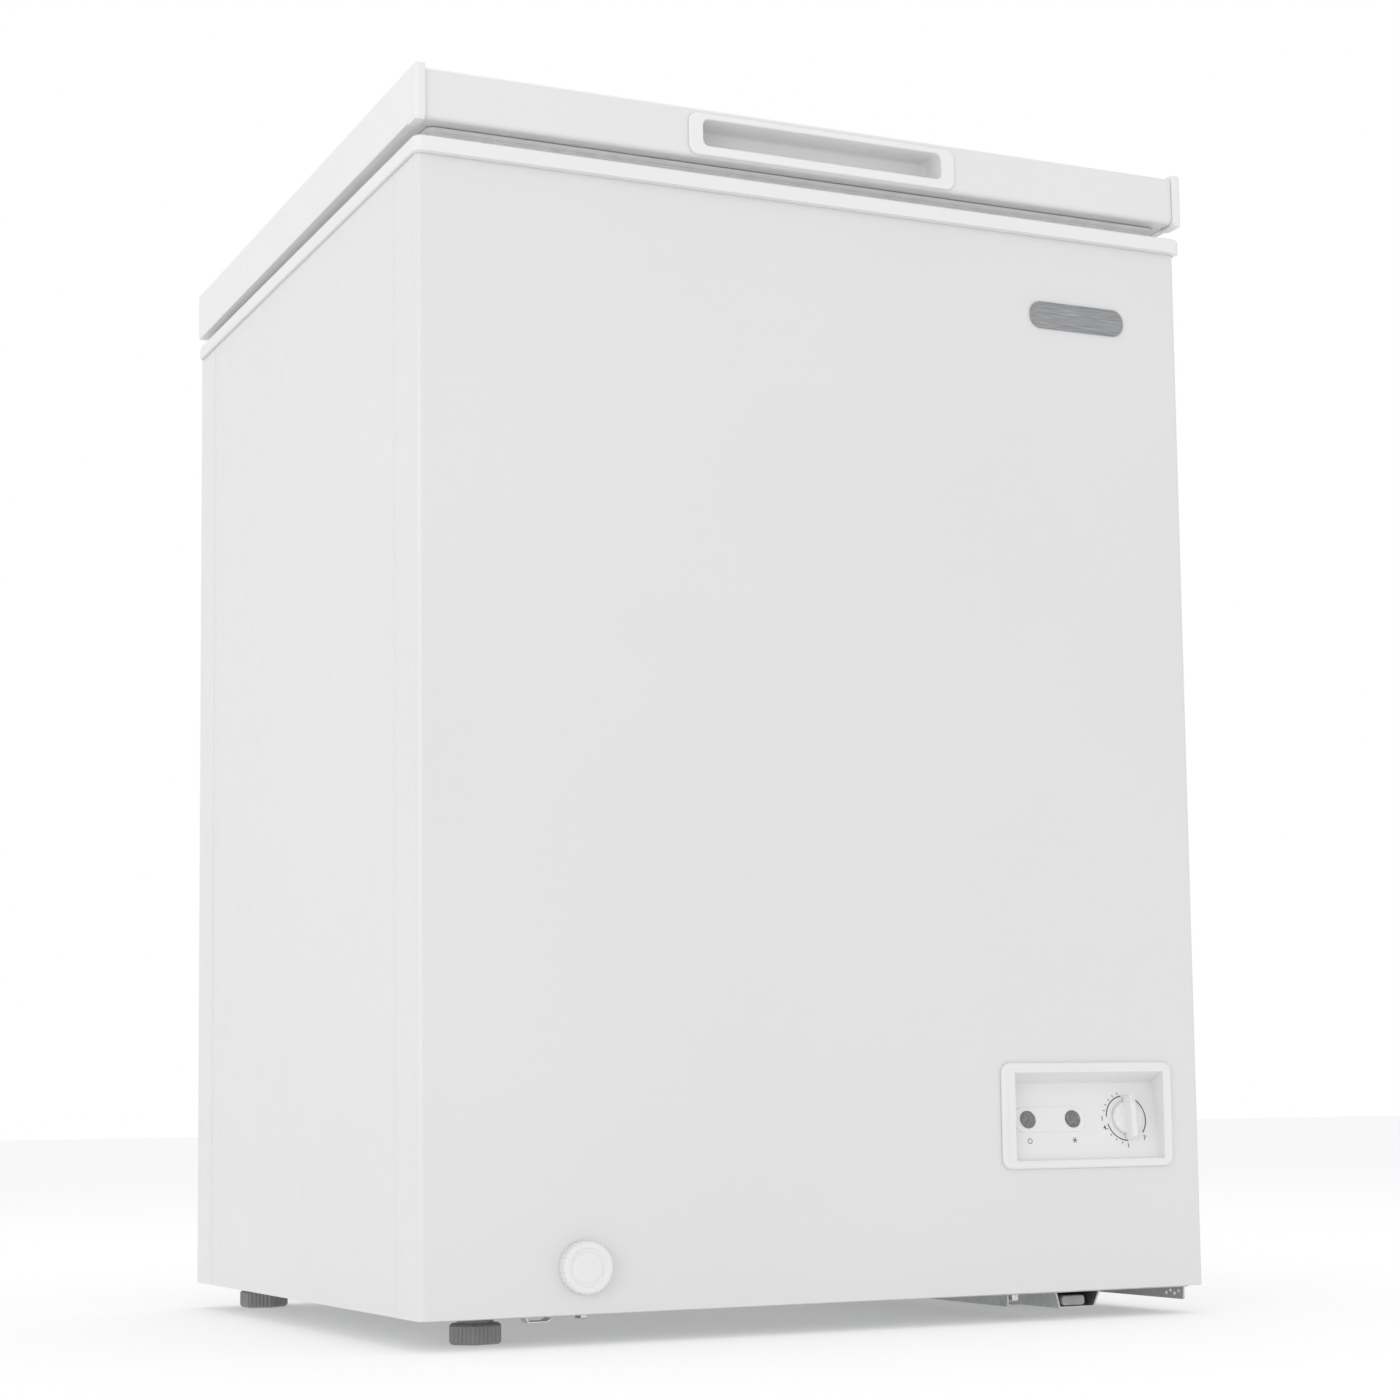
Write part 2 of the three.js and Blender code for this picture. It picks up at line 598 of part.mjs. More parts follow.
function cordInlet() {
  const profile = [[4, REAR - 3], [7, REAR - 3], [7, REAR + 0.6], [9.5, REAR + 0.7],
    [9.5, REAR + 3], [7, REAR + 7], [4, REAR + 7], [4, REAR - 3]];
  const along = profile.map(([r, y]) => [r, -y]);
  return solid(turned(along, 16).rotateX(Math.PI / 2).translate(165, 0, 70));
}

function badge() {
  return alongY(roundedRect([172, 252], [725, 745], 9), [FRONT - 1.6, FRONT - GAP]);
}

function buildFittings(group) {
  group.add(
    mesh('badge', badge(), brightSteel),
    mesh('drain_dial', drainDial(), whitePlastic),
    mesh('drain_spout', drainSpout(), whitePlastic),
    mesh('drain_elbow', drainElbow(), greyPlastic),
    mesh('drain_plug', drainPlug(), greyPlastic),
    mesh('vent_grille', ventGrille(), whitePlastic),
    mesh('cord_inlet', cordInlet(), darkPlastic),
  );
}

// ---------- basket ----------
const BASKET_X = [30, 230];
const BASKET_Z = [600, 790];

// Outer form of the wire basket: thin walls, open top, hooks over the front and rear rims.
function basket() {
  const wall = 3;
  const y = 228;
  const [x0, x1] = BASKET_X;
  const r = 24;
  const outer = alongZ(roundedRect(BASKET_X, [-y, y], r), BASKET_Z);
  const inner = alongZ(roundedRect([x0 + wall, x1 - wall], [-y + wall, y - wall], r - wall),
    [BASKET_Z[0] + wall, BASKET_Z[1] + 1]);
  const hooks = [];
  for (const sign of [-1, 1]) {
    for (const x of [x0 + 40, x1 - 40]) {
      const out = [[sign * (y - wall), sign * (y + 22)].sort((a, b) => a - b)];
      const riser = [[sign * (y - wall), sign * y].sort((a, b) => a - b)];
      hooks.push(box([x - 2, x + 2], riser[0], [BASKET_Z[1] - 1, RIM_TOP + 3.8]));
      hooks.push(box([x - 2, x + 2], out[0], [RIM_TOP + 0.8, RIM_TOP + 3.8]));
    }
  }
  return union([outer.subtract(inner), ...hooks]);
}

// ---------- lid ----------

const lidX = [-LID_SIDE, LID_SIDE];
const GRIP_X = [-103.5, 107.5];        // front grip bezel
const GRIP_Z = [813.4, 843.6];
const POCKET_X = [-92.5, 96.5];        // its finger pocket
const POCKET_Z = [820.4, 839.4];
const POCKET_DEPTH = 24;

function lidProfile(inset) {
  const r = 4 - inset;
  const y0 = LID_FRONT + inset;
  const y1 = LID_REAR - inset;
  const z0 = LID_BOTTOM + inset;
  const z1 = LID_TOP - inset;
  return roundedRect([y0, y1], [z0, z1], r);
}

function lidSkin() {
  const skin = alongX(lidProfile(0), lidX).subtract(alongX(lidProfile(SHEET),
    [-LID_SIDE - 1, LID_SIDE + 1]));
  const under = box([-LID_SIDE - 1, LID_SIDE + 1], [LID_FRONT + 16, LID_REAR - 16],
    [LID_BOTTOM - 1, LID_BOTTOM + 3]);
  const grip = box([POCKET_X[0] - 3, POCKET_X[1] + 3], [LID_FRONT - 1, LID_FRONT + 2],
    [POCKET_Z[0] - 3, POCKET_Z[1] + 3]);
  return cut(skin, [under, grip]);
}

function lidFoam() {
  const side = LID_SIDE - 0.5;
  const core = box([-side, side], [LID_FRONT + 1.2, LID_REAR - 1.2],
    [LID_BOTTOM + 2, LID_TOP - 1.2]);
  const edge = 3.2;
  const rounded = alongX(roundedRect([LID_FRONT + 1.2, LID_REAR - 1.2],
    [LID_BOTTOM + 2, LID_TOP - 1.2], edge), [-side, side]);
  const plug = box([-222.9, 222.9], [-212.9, 212.9], [805.1, 820]);
  const grip = box([POCKET_X[0] - 2.4, POCKET_X[1] + 2.4], [LID_FRONT - 1,
    LID_FRONT + POCKET_DEPTH + 2.2], [POCKET_Z[0] - 2.4, POCKET_Z[1] + 2.4]);
  return core.intersect(rounded).add(plug).subtract(grip);
}

function lidLiner() {
  const plate = box([-279, 279], [-278.7, 275.1], [LID_BOTTOM, LID_BOTTOM + 1.5]);
  const tray = box([-225, 225], [-215, 215], [803, LID_BOTTOM + 1]);
  const hollow = box([-223.3, 223.3], [-213.3, 213.3], [804.7, LID_BOTTOM + 3]);
  return plate.add(tray).subtract(hollow);
}

function endCap(sign) {
  const span = (a, b) => (sign < 0 ? [-b, -a] : [a, b]);
  const outer = alongZ(roundedRect(span(LID_SIDE + GAP, CAP_SIDE + 6), [CAP_FRONT, CAP_REAR], 3),
    [CAP_BOTTOM, CAP_TOP]).intersect(alongZ(roundedRect(
    span(LID_SIDE - 20, CAP_SIDE), [CAP_FRONT, CAP_REAR], 3), [CAP_BOTTOM, CAP_TOP]));
  const foot = box(span(LID_SIDE + GAP, CAP_SIDE - 0.4), [CAP_FRONT + 1, CAP_FRONT + 19],
    [CAP_BOTTOM - 1.4, CAP_BOTTOM + 1]);
  const ledge = box(span(279.3, LID_SIDE + 1), [-278.7, 275.1], [LID_BOTTOM, LID_BOTTOM + 1.4]);
  const hollow = box(span(LID_SIDE - 1, CAP_SIDE - 2.4), [-292, 288], [CAP_BOTTOM + 2.2, 847]);
  return union([outer, foot, ledge]).subtract(hollow);
}

function gripBezel() {
  const wall = 2;
  const back = LID_FRONT + POCKET_DEPTH;
  const flange = alongY(roundedRect(GRIP_X, GRIP_Z, 7), [LID_FRONT - 2.2, LID_FRONT - GAP]);
  const pocket = box([POCKET_X[0] - wall, POCKET_X[1] + wall], [LID_FRONT - 1, back + wall - 0.2],
    [POCKET_Z[0] - wall, POCKET_Z[1] + wall]);
  const hollow = alongY(roundedRect(POCKET_X, POCKET_Z, 4), [LID_FRONT - 5, back]);
  return flange.add(pocket).subtract(hollow);
}

// The lid's own frame leans with it; this matrix takes untilted shapes to where they lie closed.
const LEAN = new THREE.Matrix4().makeTranslation(0, HINGE_Y, HINGE_Z)
  .multiply(new THREE.Matrix4().makeRotationX(-LID_TILT))
  .multiply(new THREE.Matrix4().makeTranslation(0, -HINGE_Y, -HINGE_Z));

// Flat below, where it rests on the level rim, and leaning above, where it meets the lid.
function lidGasket() {
  const ring = alongZ(roundedRect([-288.9, 288.9], [-281.1, 277.5], 6), [RIM_TOP + GAP, 825])
    .subtract(alongZ(roundedRect([-270.9, 270.9], [-263.1, 259.5], 3), [RIM_TOP - 5, 830]));
  const lidSpace = boxGeometry([-400, 400], [-400, 400], [CAP_BOTTOM - GAP, 900]);
  return ring.subtract(solid(lidSpace.applyMatrix4(LEAN)));
}

// Back to the lid's own untilted frame, so that the gasket can be a child of the leaning group.
function gasketMesh() {
  const node = mesh('lid_gasket', lidGasket(), rubber);
  node.geometry.applyMatrix4(LEAN.clone().invert());
  return node;
}

function buildLid(group) {
  const lid = new THREE.Group();
  lid.add(
    mesh('lid_skin', lidSkin(), whiteSteel),
    mesh('lid_foam', lidFoam(), foamMatter),
    mesh('lid_liner', lidLiner(), linerPlastic),
    mesh('lid_end_cap_left', endCap(-1), whitePlastic),
    mesh('lid_end_cap_right', endCap(1), whitePlastic),
    mesh('lid_grip', gripBezel(), whitePlastic),
    gasketMesh(),
  );
  lid.applyMatrix4(LEAN);
  group.add(lid);
}

// ---------- hinges ----------

function hingeBase(x) {
  const plate = box([x - 25, x + 25], [REAR - 0.8, REAR + 1.2], [700, 790]);
  const ears = [-1, 1].map((sign) => {
    const span = [x + sign * 21, x + sign * 23].sort((a, b) => a - b);
    const web = box(span, [REAR + 1, HINGE_Y + EAR_R], [720, 790]);
    const neck = box(span, [REAR + 3, HINGE_Y + EAR_R], [789, HINGE_Z]);
    return union([web, neck, rodX(HINGE_Y, HINGE_Z, EAR_R, span)]);
  });
  const bore = rodX(HINGE_Y, HINGE_Z, 3.3, [x - 30, x + 30], 12);
  return union([plate, ...ears]).subtract(bore);
}

// Lid plate with two lugs that swing on the pin.
function hingeArm(x) {
  const plate = box([x - 19, x + 19], [LID_REAR + GAP, LID_REAR + 2.2], [815, 844]);
  const lugs = [-1, 1].map((sign) => {
    const span = [x + sign * 17, x + sign * 19].sort((a, b) => a - b);
    const side = outline([[LID_REAR + 1, 815], [LID_REAR + 1, 840], [HINGE_Y - 1, 826],
      [HINGE_Y + 6, HINGE_Z], [HINGE_Y - 6, HINGE_Z]]);
    return alongX(side, span).add(rodX(HINGE_Y, HINGE_Z, 6.5, span));
  });
  const bore = rodX(HINGE_Y, HINGE_Z, 3.4, [x - 30, x + 30], 12);
  return union([plate, ...lugs]).subtract(bore);
}

function hingePin(x) {
  const shaft = rodX(HINGE_Y, HINGE_Z, 3, [x - 23.5, x + 25], 12);
  return shaft.add(rodX(HINGE_Y, HINGE_Z, 5, [x - 25.5, x - 23.3], 12));
}

function hingeSpring(x) {
  const turns = 5;
  const perTurn = 8;
  const r = 5.2;
  const span = 26;
  const points = [];
  for (let k = 0; k <= turns * perTurn; k += 1) {
    const turn = (2 * Math.PI * k) / perTurn;
    points.push(new THREE.Vector3(x - span / 2 + (span * k) / (turns * perTurn),
      HINGE_Y + r * Math.cos(turn), HINGE_Z + r * Math.sin(turn)));
  }
  return tubeAlong(points, 1, 5);
}

function buildHinges(group) {
  const lean = new THREE.Group();
  HINGE_X.forEach((x, k) => {
    const hand = ['left', 'right'][k];
    lean.add(mesh(`hinge_arm_${hand}`, hingeArm(x), brightSteel));
    group.add(
      mesh(`hinge_base_${hand}`, hingeBase(x), brightSteel),
      mesh(`hinge_pin_${hand}`, hingePin(x), brightSteel),
      mesh(`hinge_spring_${hand}`, hingeSpring(x), blackSteel),
    );
  });
  lean.applyMatrix4(LEAN);
  group.add(lean);
}

// ---------- assembly ----------
const freezer = new THREE.Group();
buildCabinet(freezer);
buildBase(freezer);
buildCooling(freezer);
buildControls(freezer);
buildFittings(freezer);
freezer.add(mesh('basket', basket(), wireWhite));
buildLid(freezer);
buildHinges(freezer);

const foremost = FRONT - DIAL_OUT;
const rearmost = HINGE_Y + EAR_R;
freezer.position.y = -(foremost + rearmost) / 2;

export default freezer;
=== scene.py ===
import json
import math

import bmesh
import bpy
from mathutils import Matrix, Vector


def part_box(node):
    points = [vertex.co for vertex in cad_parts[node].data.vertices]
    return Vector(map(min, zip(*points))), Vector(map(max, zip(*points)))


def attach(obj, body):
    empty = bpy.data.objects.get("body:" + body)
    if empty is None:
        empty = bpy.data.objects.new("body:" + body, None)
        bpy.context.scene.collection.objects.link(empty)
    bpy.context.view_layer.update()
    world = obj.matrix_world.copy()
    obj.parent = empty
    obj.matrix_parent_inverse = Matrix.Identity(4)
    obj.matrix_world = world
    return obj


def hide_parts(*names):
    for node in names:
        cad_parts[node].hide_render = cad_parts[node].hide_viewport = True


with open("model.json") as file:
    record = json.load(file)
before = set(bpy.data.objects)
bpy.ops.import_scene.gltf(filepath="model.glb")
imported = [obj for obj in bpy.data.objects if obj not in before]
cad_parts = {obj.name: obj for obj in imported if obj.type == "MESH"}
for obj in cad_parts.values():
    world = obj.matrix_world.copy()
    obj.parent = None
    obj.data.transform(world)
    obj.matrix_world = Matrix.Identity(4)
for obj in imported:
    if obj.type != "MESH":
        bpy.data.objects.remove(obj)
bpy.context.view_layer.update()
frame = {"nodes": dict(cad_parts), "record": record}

# Shapes below are in millimetres in the cabinet's own frame: the CAD frame with y = 0 at the middle
# of the cabinet's depth. TO_ROW takes them to the row frame, in metres.
MM = 0.001
MIDDLE_Y = sum(corner.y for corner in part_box("outer_shell")) / 2
TO_ROW = Matrix.Translation((0, MIDDLE_Y, 0)) @ Matrix.Scale(MM, 4)


def span(node):
    """Lowest and highest corner of a CAD node, in millimetres in the cabinet's frame."""
    back = TO_ROW.inverted()
    return [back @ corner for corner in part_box(node)]


def middle(node):
    """Middle of a CAD node seen from above, in millimetres."""
    low, high = span(node)
    return (low.x + high.x) / 2, (low.y + high.y) / 2


def placed(name, data):
    """A new object, linked to the scene."""
    made = bpy.data.objects.new(name, data)
    bpy.context.scene.collection.objects.link(made)
    return made


# ---------- sizes, from the frame ----------
SHELL = span("outer_shell")
SIDE = SHELL[1].x
FRONT, REAR = SHELL[0].y, SHELL[1].y
FOOT_H, SHELL_TOP = SHELL[0].z, SHELL[1].z
RIM = span("top_frame")
RIM_BOTTOM, RIM_TOP = RIM[0].z, RIM[1].z
DIAL = span("drain_dial")
DRAIN_X = (DIAL[0].x + DIAL[1].x) / 2
DRAIN_Z = (DIAL[0].z + DIAL[1].z) / 2
DIAL_R = (DIAL[1].z - DIAL[0].z) / 2
PIN = span("hinge_pin_left")
HINGE_Y = (PIN[0].y + PIN[1].y) / 2
HINGE_Z = (PIN[0].z + PIN[1].z) / 2
FOOT_FACING = {"front_left": -109, "rear_left": -85, "front_right": -90, "rear_right": -60}
FEET = {name: middle("foot_" + name) for name in FOOT_FACING}

# ---------- sizes shared with the CAD source ----------
SHELL_R = 4.5
SHEET = 0.8
FIELD_STEP = 0.9
FIELD_RAMP = 1.5
FIELD_FRONT, FIELD_REAR, FIELD_TOP = -238, 246, 792
BEAD_HEIGHT, BEAD_WIDTH = 0.6, 3.2
LID_TILT = 0.0074
LID_FRONT, LID_REAR, LID_SIDE = -295.1, 291.5, 295.2
LID_BOTTOM, LID_TOP = 812.3, 848
CAP_SIDE, CAP_FRONT, CAP_REAR = 302.9, -297.6, 292.3
CAP_BOTTOM, CAP_TOP = 812, 850
GRIP_X, GRIP_Z = (-103.5, 107.5), (813.4, 843.6)
POCKET_X, POCKET_Z = (-92.5, 96.5), (820.4, 839.4)
POCKET_DEPTH = 24
PANEL_TILT = 0.21
FACE_BOTTOM, FACE_TOP = (-286, 114.5), (-274.5, 168.5)
PANEL_X, PANEL_Z = (132.5, 275.5), (107.5, 183.5)
RECESS_X, RECESS_Z = (143.5, 268), (113.5, 175.5)
KNOB_X, LAMP_X, DIAL_Z = 242.7, (159.5, 196.9), 142.6
WALL_X, WALL_Y, CAVITY_FLOOR = 245, 234.5, 86
STEP_X, STEP_Z = 75, 330
LINER_T = 1.5
CORNER_R = 30
BASKET_X, BASKET_Y, BASKET_TOP = (30, 230), (-228, 228), 790
HINGE_OUT = 200
COMPRESSOR = (213, 60)
GAP = 0.3
DRAIN_AT = (DRAIN_X, 0, DRAIN_Z)
WELL_AT = (DRAIN_X, -190, 0)
CORD_AT = (165, 0, 70)

LEAN = (Matrix.Translation((0, HINGE_Y, HINGE_Z)) @ Matrix.Rotation(-LID_TILT, 4, "X")
        @ Matrix.Translation((0, -HINGE_Y, -HINGE_Z)))

BODY_OF = {node: body for body, nodes in frame["record"]["behaviour"]["bodies"].items()
           for node in nodes}
SLOT_OF = {part["node"]: part["material_slot"] for part in frame["record"]["subparts"]}


# ---------- camera, floor and light ----------
CAMERA_AT = (-887.3, -2089.0, 147.2)
CAMERA_AZIMUTH, CAMERA_PITCH, CAMERA_ROLL = (math.radians(a) for a in (26.16, 5.8, -0.95))


def add_camera():
    data = bpy.data.cameras.new("camera")
    data.sensor_width = 36
    data.lens = 74.17
    data.shift_x, data.shift_y = -0.0892, 0.0884
    data.clip_start, data.clip_end = 0.01, 100
    camera = placed("camera", data)
    flat = math.cos(CAMERA_PITCH)
    ahead = Vector((math.sin(CAMERA_AZIMUTH) * flat, math.cos(CAMERA_AZIMUTH) * flat,
                    math.sin(CAMERA_PITCH)))
    level = ahead.cross(Vector((0, 0, 1))).normalized()
    right = Matrix.Rotation(-CAMERA_ROLL, 3, ahead) @ level
    up = right.cross(ahead)
    turn = Matrix((right, up, -ahead)).transposed().to_4x4()
    camera.matrix_world = Matrix.Translation(TO_ROW @ Vector(CAMERA_AT)) @ turn
    bpy.context.scene.camera = camera


def add_floor():
    half = 40
    mesh = bpy.data.meshes.new("floor")
    mesh.from_pydata([(-half, -half, 0), (half, -half, 0), (half, half, 0), (-half, half, 0)],
                     [], [(0, 1, 2, 3)])
    floor = placed("floor", mesh)
    paint = bpy.data.materials.new("floor_paint")
    paint.use_nodes = True
    shader = paint.node_tree.nodes["Principled BSDF"]
    for socket, value in (("Base Color", (0.74, 0.74, 0.74, 1)), ("Roughness", 0.9),
                          ("Specular IOR Level", 0.1), ("Emission Color", (1, 1, 1, 1)),
                          ("Emission Strength", 0.28)):
        shader.inputs[socket].default_value = value
    mesh.materials.append(paint)


def add_area_light(name, at, size, energy):
    data = bpy.data.lights.new(name, "AREA")
    data.shape = "RECTANGLE"
    data.size, data.size_y = size
    data.energy = energy
    light = placed(name, data)
    aim = Vector((0, 0, 0.45)) - Vector(at)
    light.matrix_world = Matrix.Translation(at) @ aim.to_track_quat("-Z", "Y").to_matrix().to_4x4()


def add_lights():
    """Bright walls, a softer ceiling, a softbox overhead and a low one at the front left corner."""
    world = bpy.data.worlds.new("studio")
    world.use_nodes = True
    tree = world.node_tree
    way = tree.nodes.new("ShaderNodeTexCoord")
    split = tree.nodes.new("ShaderNodeSeparateXYZ")
    shade = tree.nodes.new("ShaderNodeValToRGB")
    wall, ceiling = shade.color_ramp.elements
    wall.position, wall.color = 0.42, (1, 1, 1, 1)
    ceiling.position, ceiling.color = 0.72, (0.8, 0.8, 0.8, 1)
    tree.links.new(way.outputs["Generated"], split.inputs["Vector"])
    tree.links.new(split.outputs["Z"], shade.inputs["Fac"])
    tree.links.new(shade.outputs["Color"], tree.nodes["Background"].inputs["Color"])
    tree.nodes["Background"].inputs["Strength"].default_value = 1.0
    bpy.context.scene.world = world
    bpy.context.scene.view_settings.view_transform = "Standard"
    add_area_light("softbox_corner", (-3.3, -3.1, 1.0), (2.6, 1.6), 26)
    add_area_light("softbox_overhead", (0.2, 0.3, 3.4), (2.4, 2.4), 16)


add_camera()
add_floor()
add_lights()


# ---------- materials ----------

class Paint:
    """A material's node tree, with short calls for the textures that most of them share."""

    def __init__(self, name, color, roughness, metallic=0.0):
        self.material = bpy.data.materials.new(name)
        self.material.use_nodes = True
        self.tree = self.material.node_tree
        self.shader = self.tree.nodes["Principled BSDF"]
        self.shader.inputs["Base Color"].default_value = (*color, 1)
        self.shader.inputs["Roughness"].default_value = roughness
        self.shader.inputs["Metallic"].default_value = metallic
        self.place = self.tree.nodes.new("ShaderNodeTexCoord").outputs["Object"]
        self.height = None

    def link(self, source, target):
        self.tree.links.new(source, target)

    def noise(self, scale, detail=2.0, stretch=None):
        """Noise value; scale is in features per metre, stretch scales x, y and z."""
        node = self.tree.nodes.new("ShaderNodeTexNoise")
        node.inputs["Scale"].default_value = scale
        node.inputs["Detail"].default_value = detail
        place = self.place
        if stretch:
            mapping = self.tree.nodes.new("ShaderNodeMapping")
            mapping.inputs["Scale"].default_value = stretch
            self.link(place, mapping.inputs["Vector"])
            place = mapping.outputs["Vector"]
        self.link(place, node.inputs["Vector"])
        return node.outputs["Fac"]

    def cells(self, scale, output="Color"):
        node = self.tree.nodes.new("ShaderNodeTexVoronoi")
        node.inputs["Scale"].default_value = scale
        self.link(self.place, node.inputs["Vector"])
        return node.outputs[output]

    def ramp(self, value, low, high, ends=(0.35, 0.65)):
        """Runs between two colours (or grey levels) over the value."""
        node = self.tree.nodes.new("ShaderNodeValToRGB")
        for element, place, color in zip(node.color_ramp.elements, ends, (low, high)):
            element.position = place
            element.color = (*color, 1) if isinstance(color, tuple) else (color, color, color, 1)
        self.link(value, node.inputs["Fac"])
        return node.outputs["Color"]

    def color(self, value, low, high, ends=(0.35, 0.65)):
        self.link(self.ramp(value, low, high, ends), self.shader.inputs["Base Color"])
        return self

    def rough(self, value, low, high, ends=(0.35, 0.65)):
        self.link(self.ramp(value, low, high, ends), self.shader.inputs["Roughness"])
        return self

    def bump(self, value, depth, strength=1.0):
        """Raises the surface by value times depth, in metres, on top of earlier bumps."""
        node = self.tree.nodes.new("ShaderNodeBump")
        node.inputs["Strength"].default_value = strength
        node.inputs["Distance"].default_value = depth
        self.link(value, node.inputs["Height"])
        if self.height:
            self.link(self.height, node.inputs["Normal"])
        self.height = node.outputs["Normal"]
        self.link(self.height, self.shader.inputs["Normal"])
        return self

    def set(self, socket, value):
        self.shader.inputs[socket].default_value = value
        return self


def grey(level):
    return (level, level, level)


def white_steel(name="white_steel_paint", albedo=0.72):
    """Smooth white prepainted sheet: fine orange peel, the faintest long waves of the sheet."""
    p = Paint(name, grey(albedo), 0.36)
    p.color(p.noise(3.1, 3), (albedo - 0.006, albedo - 0.005, albedo - 0.007),
            (albedo + 0.008, albedo + 0.007, albedo + 0.004))
    p.rough(p.noise(60, 4), 0.33, 0.42)
    p.bump(p.noise(2.2, 1), 0.0012, 0.25)
    p.bump(p.noise(900, 2), 0.00004, 0.4)
    return p.set("Coat Weight", 0.2).set("Coat Roughness", 0.08).material


def white_plastic(name="white_plastic_mould", albedo=0.785):
    """Moulded white plastic with a fine spark-eroded grain."""
    p = Paint(name, grey(albedo), 0.42)
    p.color(p.noise(9, 3), (albedo - 0.006, albedo - 0.005, albedo - 0.005),
            (albedo + 0.008, albedo + 0.008, albedo + 0.006))
    p.rough(p.noise(150, 3), 0.38, 0.5)
    p.bump(p.noise(2600, 2), 0.00003, 0.5)
    return p.set("Subsurface Weight", 0.04).set("Subsurface Radius", (0.004, 0.004, 0.004)).material


def grained(name, base, shine, tint, rough, bump, metallic=0.0):
    """Paint whose tint, roughness and height follow noise: (noise, low, high), bump by depth."""
    p = Paint(name, base, shine, metallic)
    p.color(p.noise(*tint[0]), *tint[1:])
    p.rough(p.noise(*rough[0]), *rough[1:])
    return p.bump(p.noise(*bump[0]), *bump[1:])


def liner_plastic():
    """Vacuum-formed liner sheet: glossy, with the long soft waves that forming leaves."""
    p = grained("liner_sheet", (0.84, 0.85, 0.855), 0.28,
                ((5, 2), (0.83, 0.84, 0.845), (0.85, 0.86, 0.865)),
                ((9, 1), 0.3, 0.34), ((6, 0), 0.0002, 0.1))
    return p.bump(p.noise(1800, 1), 0.00001, 0.2).material


def galvanised_steel():
    """Zinc-dipped sheet: spangles a few millimetres across, each with its own shade."""
    p = Paint("zinc_sheet", (0.5, 0.51, 0.52), 0.42, 0.85)
    p.color(p.cells(330), (0.5, 0.51, 0.52), (0.58, 0.59, 0.6), (0.1, 0.9))
    p.rough(p.noise(45, 4), 0.34, 0.5)
    return p.bump(p.noise(260, 4), 0.00008, 0.4).material


def foam():
    """Rigid polyurethane foam with a skin of fine cells."""
    p = Paint("insulation_foam", (0.78, 0.7, 0.48), 0.95)
    p.color(p.noise(40, 6), (0.7, 0.62, 0.4), (0.84, 0.77, 0.56))
    p.rough(p.noise(300, 2), 0.88, 0.98)
    return p.bump(p.cells(900, "Distance"), 0.0006, 0.6).material


def soft_rubber(name, low, high, shine):
    return grained(name, grey(low), shine, ((70, 4), grey(low), grey(high)),
                   ((240, 3), shine - 0.08, shine + 0.08), ((1500, 3), 0.00005, 0.5)).material


def dull_plastic(name, low, high, shine=0.55):
    return grained(name, low, shine, ((35, 4), low, high),
                   ((180, 3), shine - 0.07, shine + 0.09), ((1800, 2), 0.00006, 0.5)).material


def black_steel():
    """Black enamel on pressed steel, with dust that dulls it in patches."""
    p = grained("black_enamel", (0.02, 0.02, 0.022), 0.35,
                ((28, 5), (0.016, 0.016, 0.018), (0.05, 0.05, 0.052)),
                ((50, 5), 0.28, 0.6), ((420, 3), 0.0001, 0.5))
    return p.set("Coat Weight", 0.3).material


def drawn_tube(name, low, high):
    """Drawn metal tube: faint stains along its length and a dulled skin."""
    return grained(name, low, 0.35, ((30, 5), low, high), ((90, 4), 0.25, 0.5),
                   ((900, 2), 0.00004, 0.4), 1.0).material


def bright_steel():
    """Bright zinc plating with a faint yellow-blue cast and handling marks."""
    return grained("zinc_plate", (0.72, 0.72, 0.7), 0.28,
                   ((55, 4), (0.66, 0.68, 0.7), (0.76, 0.75, 0.7)), ((120, 5), 0.2, 0.4),
                   ((700, 2, (1, 1, 6)), 0.00004, 0.4), 1.0).material


def badge_metal():
    """Brushed dark plate: fine strokes along its length."""
    p = Paint("badge_plate", (0.3, 0.31, 0.32), 0.35, 0.8)
    strokes = p.noise(1400, 3, (0.04, 1, 1))
    p.color(strokes, (0.25, 0.26, 0.27), (0.38, 0.39, 0.4))
    p.rough(strokes, 0.28, 0.42)
    return p.bump(strokes, 0.00003, 0.6).material


def lamp_lens():
    """Dark smoked lens, with the facets of its diffuser showing faintly."""
    p = Paint("smoked_lens", (0.15, 0.155, 0.155), 0.16)
    p.color(p.cells(700), (0.11, 0.115, 0.115), (0.2, 0.205, 0.205), (0.1, 0.9))
    p.rough(p.noise(300, 2), 0.12, 0.22)
    p.bump(p.cells(900, "Distance"), 0.00008, 0.5)
    return p.set("Coat Weight", 0.5).material


def wire_coat():
    """Thick white dip coating on wire."""
    return grained("dip_coating", (0.82, 0.82, 0.81), 0.32,
                   ((60, 3), (0.8, 0.8, 0.79), (0.84, 0.84, 0.83)), ((130, 3), 0.27, 0.4),
                   ((350, 2), 0.0001, 0.4)).material


def printed_ink():
    """Grey-black pad print."""
    p = Paint("pad_print", grey(0.06), 0.5)
    p.color(p.noise(900, 3), grey(0.045), grey(0.09))
    return p.rough(p.noise(500, 2), 0.42, 0.6).material


